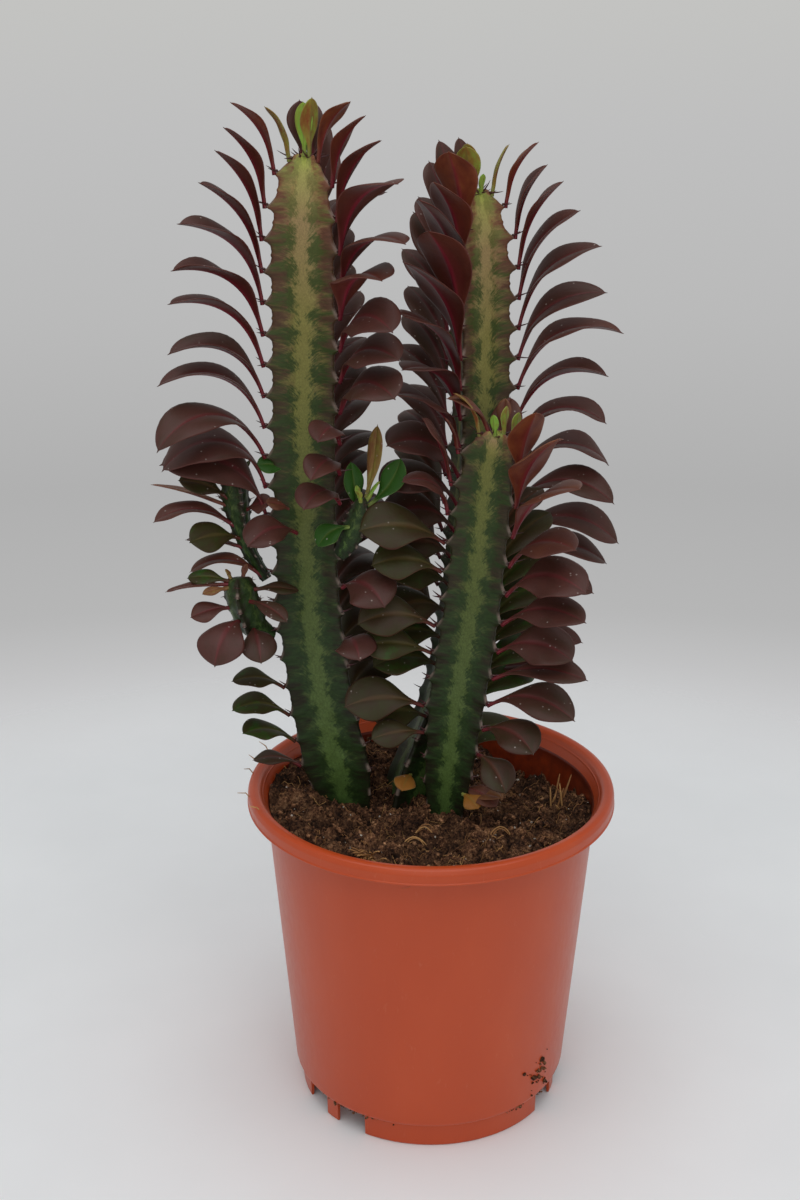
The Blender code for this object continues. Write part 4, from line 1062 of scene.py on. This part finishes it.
def cut_away(item, cutters):
    """Applies Boolean cuts, so that the notches are real openings in the mesh."""
    for cutter in cutters:
        cut = item.modifiers.new("cut", "BOOLEAN")
        cut.operation = "DIFFERENCE"
        cut.solver = "EXACT"
        cut.object = cutter
    shaped = bpy.data.meshes.new_from_object(item.evaluated_get(bpy.context.evaluated_depsgraph_get()))
    item.modifiers.clear()
    item.data = shaped
    for cutter in cutters:
        bpy.data.objects.remove(cutter)


# %% [markdown]
# ## Moulded polypropylene
# The pot's plastic was moulded in a polished tool and then handled: a smooth, faintly waxy surface, roughness
# about 0.4, IOR 1.49, slightly cloudy in colour where the pigment flowed. The reflection of the pale paper at
# grazing angles greys its outline. Fine dust dulls it in streaks of a few millimetres, and water has left
# soil stains round the foot. The inside wall is darkened in patches, partly by soil stains and partly by
# painted shade, and a band of painted shade darkens the wall just under the lip.

# %% Pot material
pot_plastic, tree, surface = new_material("moulded_polypropylene", 0.4, 1.49, 0.4)
spot = add(tree, "NewGeometry").outputs["Position"]
up_stretched = add(tree, "VectorMath", {0: spot, 1: (1.0, 1.0, 0.35)}, operation="MULTIPLY")
flow = add(tree, "TexNoise", {"Vector": up_stretched, "Scale": 24.0, "Detail": 4.0, "Roughness": 0.55})
body = add(tree, "ValToRGB", {"Fac": flow}, stops=((0.3, "b54318"), (0.55, "ba471c"), (0.75, "bf4d22")))
fine = add(tree, "TexNoise", {"Vector": up_stretched, "Scale": 420.0, "Detail": 4.0, "Roughness": 0.7})
dusty = add(tree, "MapRange", {"Value": fine, "From Min": 0.62, "From Max": 0.8, "To Max": 0.3})
height = add(tree, "SeparateXYZ", {0: spot}).outputs["Z"]
# Painted shade: a darker band on the wall just under the lip's overhang, where shade falls.
under_lip_painted_shade = add(tree, "MapRange", {"Value": height, "From Min": LIP_BOTTOM - 6 * MM, "From Max": LIP_BOTTOM - 1 * MM,
                                   "To Max": 0.8}, interpolation_type="SMOOTHSTEP")
under_lip = add(tree, "Math", {0: height, 1: LIP_BOTTOM - 0.1 * MM}, operation="LESS_THAN")
under_lip_painted_shade = add(tree, "Math", {0: under_lip_painted_shade, 1: under_lip}, operation="MULTIPLY")
from_middle = add(tree, "VectorMath", {0: spot, 1: tuple(AXIS)}, operation="SUBTRACT")
flat_place = add(tree, "VectorMath", {0: from_middle, 1: (1.0, 1.0, 0.0)}, operation="MULTIPLY")
from_axis = add(tree, "VectorMath", {0: flat_place}, operation="LENGTH").outputs["Value"]
stains = add(tree, "TexNoise", {"Vector": spot, "Scale": 140.0, "Detail": 6.0, "Roughness": 0.7})
low_down = add(tree, "MapRange", {"Value": height, "From Min": 9 * MM, "From Max": 0.0})
low_stain = add(tree, "Math", {0: low_down, 1: 0.24, 2: stains}, operation="MULTIPLY_ADD")
low_stain = add(tree, "MapRange", {"Value": low_stain, "From Min": 0.86, "From Max": 0.9, "To Max": 0.7})
wall_at_zero = WALL_BOTTOM_RADIUS - 0.6 * WALL - WALL_SLOPE * FOOT_HEIGHT
mid_wall = add(tree, "Math", {0: height, 1: WALL_SLOPE, 2: wall_at_zero}, operation="MULTIPLY_ADD")
inside = add(tree, "Math", {0: from_axis, 1: mid_wall}, operation="LESS_THAN")
below_lip = add(tree, "MapRange", {"Value": height, "From Min": POT_HEIGHT - 1.0 * MM, "From Max": LIP_BOTTOM})
inside_patches = add(tree, "MapRange", {"Value": stains, "From Min": 0.35, "From Max": 0.62, "To Min": 0.45, "To Max": 0.85})
above_foot = add(tree, "Math", {0: height, 1: FOOT_HEIGHT}, operation="GREATER_THAN")
# The inside wall between lip and foot is darkened in patches: partly soil stains, partly painted shade.
inside_stain_and_shade = inside
for share in (below_lip, above_foot, inside_patches):
    inside_stain_and_shade = add(tree, "Math", {0: inside_stain_and_shade, 1: share}, operation="MULTIPLY")
# Dust, painted shade under the lip, soil stains at the foot, and the inside's stains with painted shade.
plastic = body
for share, colour in ((dusty, "c8795a"), (under_lip_painted_shade, "681e0a"), (low_stain, "3a2418"), (inside_stain_and_shade, "5a1e10")):
    plastic = add(tree, "Mix", {0: share, 6: plastic, 7: colour}, data_type="RGBA")
gloss = add(tree, "MapRange", {"Value": fine, "From Min": 0.3, "From Max": 0.8, "To Min": 0.3, "To Max": 0.42})
bump = add(tree, "Bump", {"Height": fine, "Strength": 0.05, "Distance": 0.3 * MM})
feed(tree, surface, {"Base Color": plastic, "Roughness": gloss, "Coat Weight": 0.08, "Coat Roughness": 0.22,
                     "Normal": bump})
print("pot plastic nodes:", len(tree.nodes))

# %% Make the pot
pot = make_piece("pot_shell", points, faces, pot_plastic)
cutters = []
for group in range(3):
    for side in (-1, 1):
        middle = (NOTCH_GROUP_START + group * math.tau / 3 + side * 0.5 * (SMALL_FOOT_WIDTH + NOTCH_WIDTH)
                  - 0.5 * math.pi)
        corners, sides = wedge(middle, NOTCH_WIDTH, low=-2 * MM, high=FOOT_HEIGHT - 0.6 * MM, inner=54 * MM,
                               outer=FOOT_RADIUS + 1.2 * MM)
        cutters.append(make_piece(f"notch_{group}_{side}", corners, sides, pot_plastic, smooth=False))
cut_away(pot, cutters)
pot.data.shade_smooth()
pot.data.set_sharp_from_angle(angle=math.radians(38.0))
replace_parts(pot, "pot")
print("pot:", len(pot.data.polygons), "faces")

# %% [markdown]
# ## Peat
# The pot is filled with sphagnum peat that has been pressed down by hand: a dark, crumbly ground with clods of
# five to ten millimetres, smaller crumbs over it, tan fibres and roots through it, and a few white grains of
# perlite. The ground is one displaced sheet with a closed underside; the crumbs, fibres and grains are real
# little meshes laid on it, because their shadows are what makes peat look like peat.

# %% Soil level
SOIL_LEVEL = 145.0 * MM
SOIL_BOTTOM = 128.0 * MM


def soil_height(x, y):
    """Level of the soil at x, y from the pot's axis: heaped at the left, sunk at the back right, lumpy."""
    left_heap = 5.0 * MM * float(smoothstep((-x - 20 * MM) / (50 * MM)))
    sink = 13.0 * MM * math.exp(-(((x - 48 * MM) / (30 * MM)) ** 2) - ((y - 42 * MM) / (34 * MM)) ** 2)
    lumps = 1.4 * MM * math.sin(x * 190 + 1.0) * math.cos(y * 230 + 0.4)
    return SOIL_LEVEL + left_heap - sink + lumps


def clod(x, y):
    """1 on top of a clod, 0 in the gap between clods."""
    at = Vector((x, y, 0.0)) / MM
    at = at + noise.noise_vector(at / 6.0) * 2.4
    coarse = noise.voronoi(at / 11.0)[0]
    small = noise.voronoi(at / 5.0 + Vector((3, 8, 0)))[0]
    return float(0.68 * smoothstep((coarse[1] - coarse[0]) / 0.38) + 0.32 * smoothstep((small[1] - small[0]) / 0.45))


def ground_height(x, y):
    """The soil level with its clods and crumbs."""
    at = Vector((x, y, 0.0)) / MM
    crumbs = noise.fractal(at / 3.4, 0.9, 2.1, 4)
    swell = noise.noise(at / 22.0 + Vector((7, 3, 0)))
    return soil_height(x, y) + (4.6 * clod(x, y) + 1.3 * crumbs + 2.2 * swell - 3.2) * MM


# %% Ground sheet
SOIL_RINGS = 104
SOIL_SIDES = 288


def inner_radius(z):
    return WALL_BOTTOM_RADIUS - WALL + WALL_SLOPE * (z - FOOT_HEIGHT) - 0.15 * MM


points = []
for k in range(SOIL_RINGS + 1):
    share = max(k, 0.02) / SOIL_RINGS
    rough = inner_radius(SOIL_LEVEL) * share
    for a in full_turn(SOIL_SIDES):
        z = ground_height(rough * math.cos(a), rough * math.sin(a))
        points.append(round_pot(inner_radius(z) * share, a, z))
for radius in (inner_radius(SOIL_BOTTOM), 1.0 * MM):
    points.extend(round_pot(radius, a, SOIL_BOTTOM) for a in full_turn(SOIL_SIDES))
faces = capped_faces(SOIL_RINGS + 3, SOIL_SIDES)
print("ground sheet:", len(points), "points")

# %% Peat material
peat, tree, surface = new_material("sphagnum_peat", 0.92, 1.4, 0.25)
spot = add(tree, "NewGeometry").outputs["Position"]
coarse = add(tree, "TexNoise", {"Vector": spot, "Scale": 130.0, "Detail": 5.0, "Roughness": 0.7})
fine = add(tree, "TexNoise", {"Vector": spot, "Scale": 700.0, "Detail": 4.0, "Roughness": 0.75})
mixed = add(tree, "Mix", {0: 0.55, 2: coarse, 3: fine}, data_type="FLOAT")
brown = add(tree, "ValToRGB", {"Fac": mixed}, stops=(
    (0.3, "100906"), (0.43, "2c1a12"), (0.51, "60402c"), (0.58, "926a4c"), (0.68, "c49a74")))
# The shade number scales the brown: painted shade on the ground sheet, a random tone on the crumbs.
shade = add(tree, "Attribute", attribute_name="shade").outputs["Fac"]
lightness = add(tree, "MapRange", {"Value": shade, "To Min": 0.45, "To Max": 1.5})
lightness = add(tree, "CombineXYZ", {0: lightness, 1: lightness, 2: lightness})
shaded = add(tree, "Mix", {0: 1.0, 6: brown, 7: lightness}, data_type="RGBA", blend_type="MULTIPLY")
bump = add(tree, "Bump", {"Height": fine, "Strength": 0.7, "Distance": 0.7 * MM})
feed(tree, surface, {"Base Color": shaded, "Normal": bump})
# On the ground sheet the shade number is painted shade, darkest in the gaps between clods; the noise adds dark
# patches, partly the peat's own uneven colour and partly painted shade.
shades = [0.75 * clod(p[0] - AXIS.x, p[1] - AXIS.y) - 0.25 + 0.5 * noise.noise(Vector(p) * 160.0)
          + 0.7 * noise.noise(Vector(p) * 55.0) for p in points]
ground = make_piece("potting_soil", points, faces, peat, {"shade": shades})
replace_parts(ground, "soil")
print("ground:", len(faces), "faces")


# %% Crumbs: one lumpy grain, many times over
def grain_shape():
    """Points and faces of an icosahedron."""
    g = 0.5 * (1 + math.sqrt(5))
    corners = [(-1, g, 0), (1, g, 0), (-1, -g, 0), (1, -g, 0), (0, -1, g), (0, 1, g), (0, -1, -g), (0, 1, -g),
               (g, 0, -1), (g, 0, 1), (-g, 0, -1), (-g, 0, 1)]
    sides = [(0, 11, 5), (0, 5, 1), (0, 1, 7), (0, 7, 10), (0, 10, 11), (1, 5, 9), (5, 11, 4), (11, 10, 2),
             (10, 7, 6), (7, 1, 8), (3, 9, 4), (3, 4, 2), (3, 2, 6), (3, 6, 8), (3, 8, 9), (4, 9, 5), (2, 4, 11),
             (6, 2, 10), (8, 6, 7), (9, 8, 1)]
    return np.array(corners) / math.sqrt(1 + g * g), np.array(sides)


GRAIN_POINTS, GRAIN_FACES = grain_shape()
CRUMB_COUNT = 4200
PERLITE_COUNT = 130


def scatter(name, places, sizes, material, shade=(0.0, 1.0)):
    """One piece made of a lumpy grain at each place, each of its own size, turn and shade."""
    points, faces, shades = [], [], []
    for place, size in zip(places, sizes):
        stretch = np.array([draw.uniform(0.7, 1.4), draw.uniform(0.6, 1.1), 0.7 * draw.uniform(0.7, 1.2)])
        facing = Vector([draw.gauss(0, 1) for _ in range(3)])
        turn = facing.to_track_quat("X", "Z").to_matrix()
        lumps = 1.0 + np.array([draw.uniform(-0.28, 0.28) for _ in GRAIN_POINTS])
        shape = (GRAIN_POINTS * lumps[:, None] * stretch * size * 0.5) @ np.array(turn)
        faces.append(GRAIN_FACES + len(points) * len(GRAIN_POINTS))
        points.append(shape + np.array(place))
        shades.append(np.full(len(GRAIN_POINTS), draw.uniform(*shade)))
    item = make_piece(name, np.concatenate(points), np.concatenate(faces).tolist(), material,
                      {"shade": np.concatenate(shades)}, smooth=False)
    print(name, len(points), "grains")


def in_the_pot(reach=0.99):
    """A random place on the ground, away from the pot's wall."""
    radius = inner_radius(SOIL_LEVEL) * reach * math.sqrt(draw.random())
    angle = draw.uniform(0, math.tau)
    x, y = radius * math.cos(angle), radius * math.sin(angle)
    return AXIS + Vector((x, y, ground_height(x, y)))


draw = random.Random(21)
sizes = [(0.7 + 2.6 * draw.random() ** 3.2) * MM for _ in range(CRUMB_COUNT)]
places = [in_the_pot() + Vector((0, 0, 0.15 * size)) for size in sizes]
scatter("peat_crumbs", places, sizes, peat)

# %% Perlite grains
perlite, tree, surface = new_material("expanded_perlite", 0.8, 1.5, 0.4)
spot = add(tree, "NewGeometry").outputs["Position"]
pits = add(tree, "TexNoise", {"Vector": spot, "Scale": 1200.0, "Detail": 3.0})
white = add(tree, "ValToRGB", {"Fac": pits}, stops=((0.35, "8c8074"), (0.6, "c4bcb0")))
feed(tree, surface, {"Base Color": white})
sizes = [(0.7 + 1.2 * draw.random() ** 2) * MM for _ in range(PERLITE_COUNT)]
places = [in_the_pot() + Vector((0, 0, 0.3 * size)) for size in sizes]
scatter("perlite_grains", places, sizes, perlite)

# %% [markdown]
# ## Roots and fibres
# Peat holds dead roots and coir-like fibres, pale tan against the dark crumbs, from a hair to half a
# millimetre thick. Each is a thin tube along a wandering line. Curve objects would do, but a mesh tube can
# carry its own shade and all of them can share one piece.

# %% Many fibres as one piece
def bundle(name, lines, radii, material, shade):
    """One piece made of many tapering tubes."""
    tubes, shades = [], []
    for line, radius in zip(lines, radii):
        taper = radius * np.sqrt(np.clip(np.sin(np.linspace(0.12, math.pi - 0.12, len(line))) * 1.6, 0.05, 1.0))
        tubes.append((line, taper))
        shades.extend([draw.uniform(*shade)] * (len(line) * TUBE_SIDES))
    item = join_tubes(name, tubes, material, {"shade": shades})
    print(name, len(lines), "fibres")


def wander(start, heading, length, lift, steps=9):
    """A wandering line from start that stays close to the ground and rises by lift."""
    place = start
    line = [place]
    for k in range(steps):
        heading += draw.gauss(0, 0.5)
        place = place + polar(length / steps, heading)
        x, y = place.x - AXIS.x, place.y - AXIS.y
        inside = math.hypot(x, y) < inner_radius(SOIL_LEVEL)
        base = ground_height(x, y) if inside else place.z
        place.z = base + lift * (k + 1) / steps + draw.uniform(0.0, 1.4) * MM
        line.append(place)
    return line


# %% Fibre material and the fibres in the peat
fibre, tree, surface = new_material("dry_root_fibre", 0.75, 1.5, 0.3)
shade = add(tree, "Attribute", attribute_name="shade").outputs["Fac"]
tan = add(tree, "ValToRGB", {"Fac": shade}, stops=(
    (0.0, "3a251a"), (0.35, "5c3c28"), (0.7, "94693f"), (1.0, "c69a62")))
feed(tree, surface, {"Base Color": tan})
FIBRE_COUNT = 420
lines, radii = [], []
for _ in range(FIBRE_COUNT):
    length = (4.0 + 14.0 * draw.random() ** 2) * MM
    start, heading = in_the_pot(0.93), draw.uniform(0, math.tau)
    lines.append(wander(start, heading, length, draw.uniform(0, 1.2) * MM))
    radii.append((0.08 + 0.2 * draw.random() ** 3) * MM)
bundle("peat_fibres", lines, radii, fibre, shade=(0.1, 0.95))

# %% [markdown]
# ## The larger roots
# Four kinds of thicker strand catch the eye: flat loops of root near the front of the soil, a tan tuft of
# short hairs, stiff straws that stand up at the right, and fine roots that climb out over the rim at the left.
# Each kind has its own simple rule, and all share the fibre material and one piece.


# %% Root loops, a tan tuft, stiff straws and a root over the rim
def on_ground(x, y, lift=0.0):
    """A point at x, y millimetres from the pot's axis, lift millimetres above the peat."""
    return AXIS + Vector((x * MM, y * MM, ground_height(x * MM, y * MM) + lift * MM))


lines, radii = [], []
for x, y, size in ((-8, -38, 6.5), (-3, -31, 4.5), (31, -31, 4.5)):
    for share in (1.0, 0.8):
        wobble = [draw.uniform(0.75, 1.2) for _ in range(4)]
        turns = np.linspace(draw.uniform(-0.6, 0.6), draw.uniform(3.4, 5.0), 13)
        reach = [size * share * np.interp(a, (-1, 1, 3, 5), wobble) for a in turns]
        lines.append([on_ground(x, y) + MM * Vector((r * math.cos(a), 0.4 * r * math.sin(a),
                                                     0.2 + 0.7 * r * math.sin(a) ** 2))
                      for r, a in zip(reach, turns)])
        radii.append(0.3 * MM)
for _ in range(26):
    heading = draw.gauss(-2.2, 0.7)
    foot = on_ground(-27 + draw.gauss(0, 2.2), -56 + draw.gauss(0, 1.2), -1)
    end = polar(1.0, heading, draw.uniform(0.15, 0.7)) * draw.uniform(5, 11) * MM
    lines.append([foot + end * t + Vector((0, 0, 1.6 * MM)) * math.sin(2.4 * t) for t in (0, 0.3, 0.6, 0.85, 1)])
    radii.append(0.34 * MM)
for _ in range(9):
    foot = on_ground(60 + draw.gauss(0, 4), 2 + draw.gauss(0, 4), -2)
    end = Vector((draw.gauss(0, 0.5), draw.gauss(0, 0.4), 1.0)) * draw.uniform(7, 14) * MM
    lines.append([foot + end * t for t in (0, 0.25, 0.5, 0.75, 1)])
    radii.append(0.45 * MM)
for heading in (2.9, 3.05, 3.3, 3.5, 2.75):
    foot = AXIS + polar(73 * MM, heading, POT_HEIGHT - 12 * MM)
    rise = draw.uniform(16, 22)
    lines.append([foot + (polar(t * 15, heading, rise * t - 6 * t * t)
                          + Vector([draw.gauss(0, 0.7) for _ in range(3)])) * MM
                  for t in np.linspace(0, 1, 7)])
    radii.append(0.28 * MM)
bundle("roots_and_straws", lines, radii, fibre, shade=(0.6, 1.0))

# %% [markdown]
# ## Spilt soil
# Crumbs of peat cling to the front right of the wall just above the foot, and to the step where the wall meets
# the foot ring. They are the same grains as on the soil, placed on the wall's own radius.

# %% Crumbs stuck low on the wall and on the foot: directions of the spills in degrees
WALL_SPILLS = (-45, -40, -38, -37)
FOOT_SPILLS = (-131, -118, -50, -38)
places, sizes = [], []
for _ in range(46):
    turn = math.radians(draw.choice(WALL_SPILLS) + draw.gauss(0, 2.2))
    z = draw.gauss(25, 6) * MM
    r = WALL_BOTTOM_RADIUS + WALL_SLOPE * (z - FOOT_HEIGHT) + 0.2 * MM
    places.append(round_pot(r, turn, z))
    sizes.append((0.7 + 2.4 * draw.random() ** 2) * MM)
for _ in range(70):
    turn = math.radians(draw.choice(FOOT_SPILLS) + draw.gauss(0, 4))
    r = WALL_BOTTOM_RADIUS - draw.uniform(0.2, 1.6) * MM
    places.append(round_pot(r, turn, FOOT_HEIGHT - draw.uniform(0.3, 1.2) * MM))
    sizes.append((0.5 + 1.4 * draw.random() ** 3) * MM)
scatter("stuck_crumbs", places, sizes, peat, shade=(0.0, 0.9))

# %% Sizes of the finished model
low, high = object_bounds()
print("finished model, mm:", [round(side / MM, 1) for side in high - low])
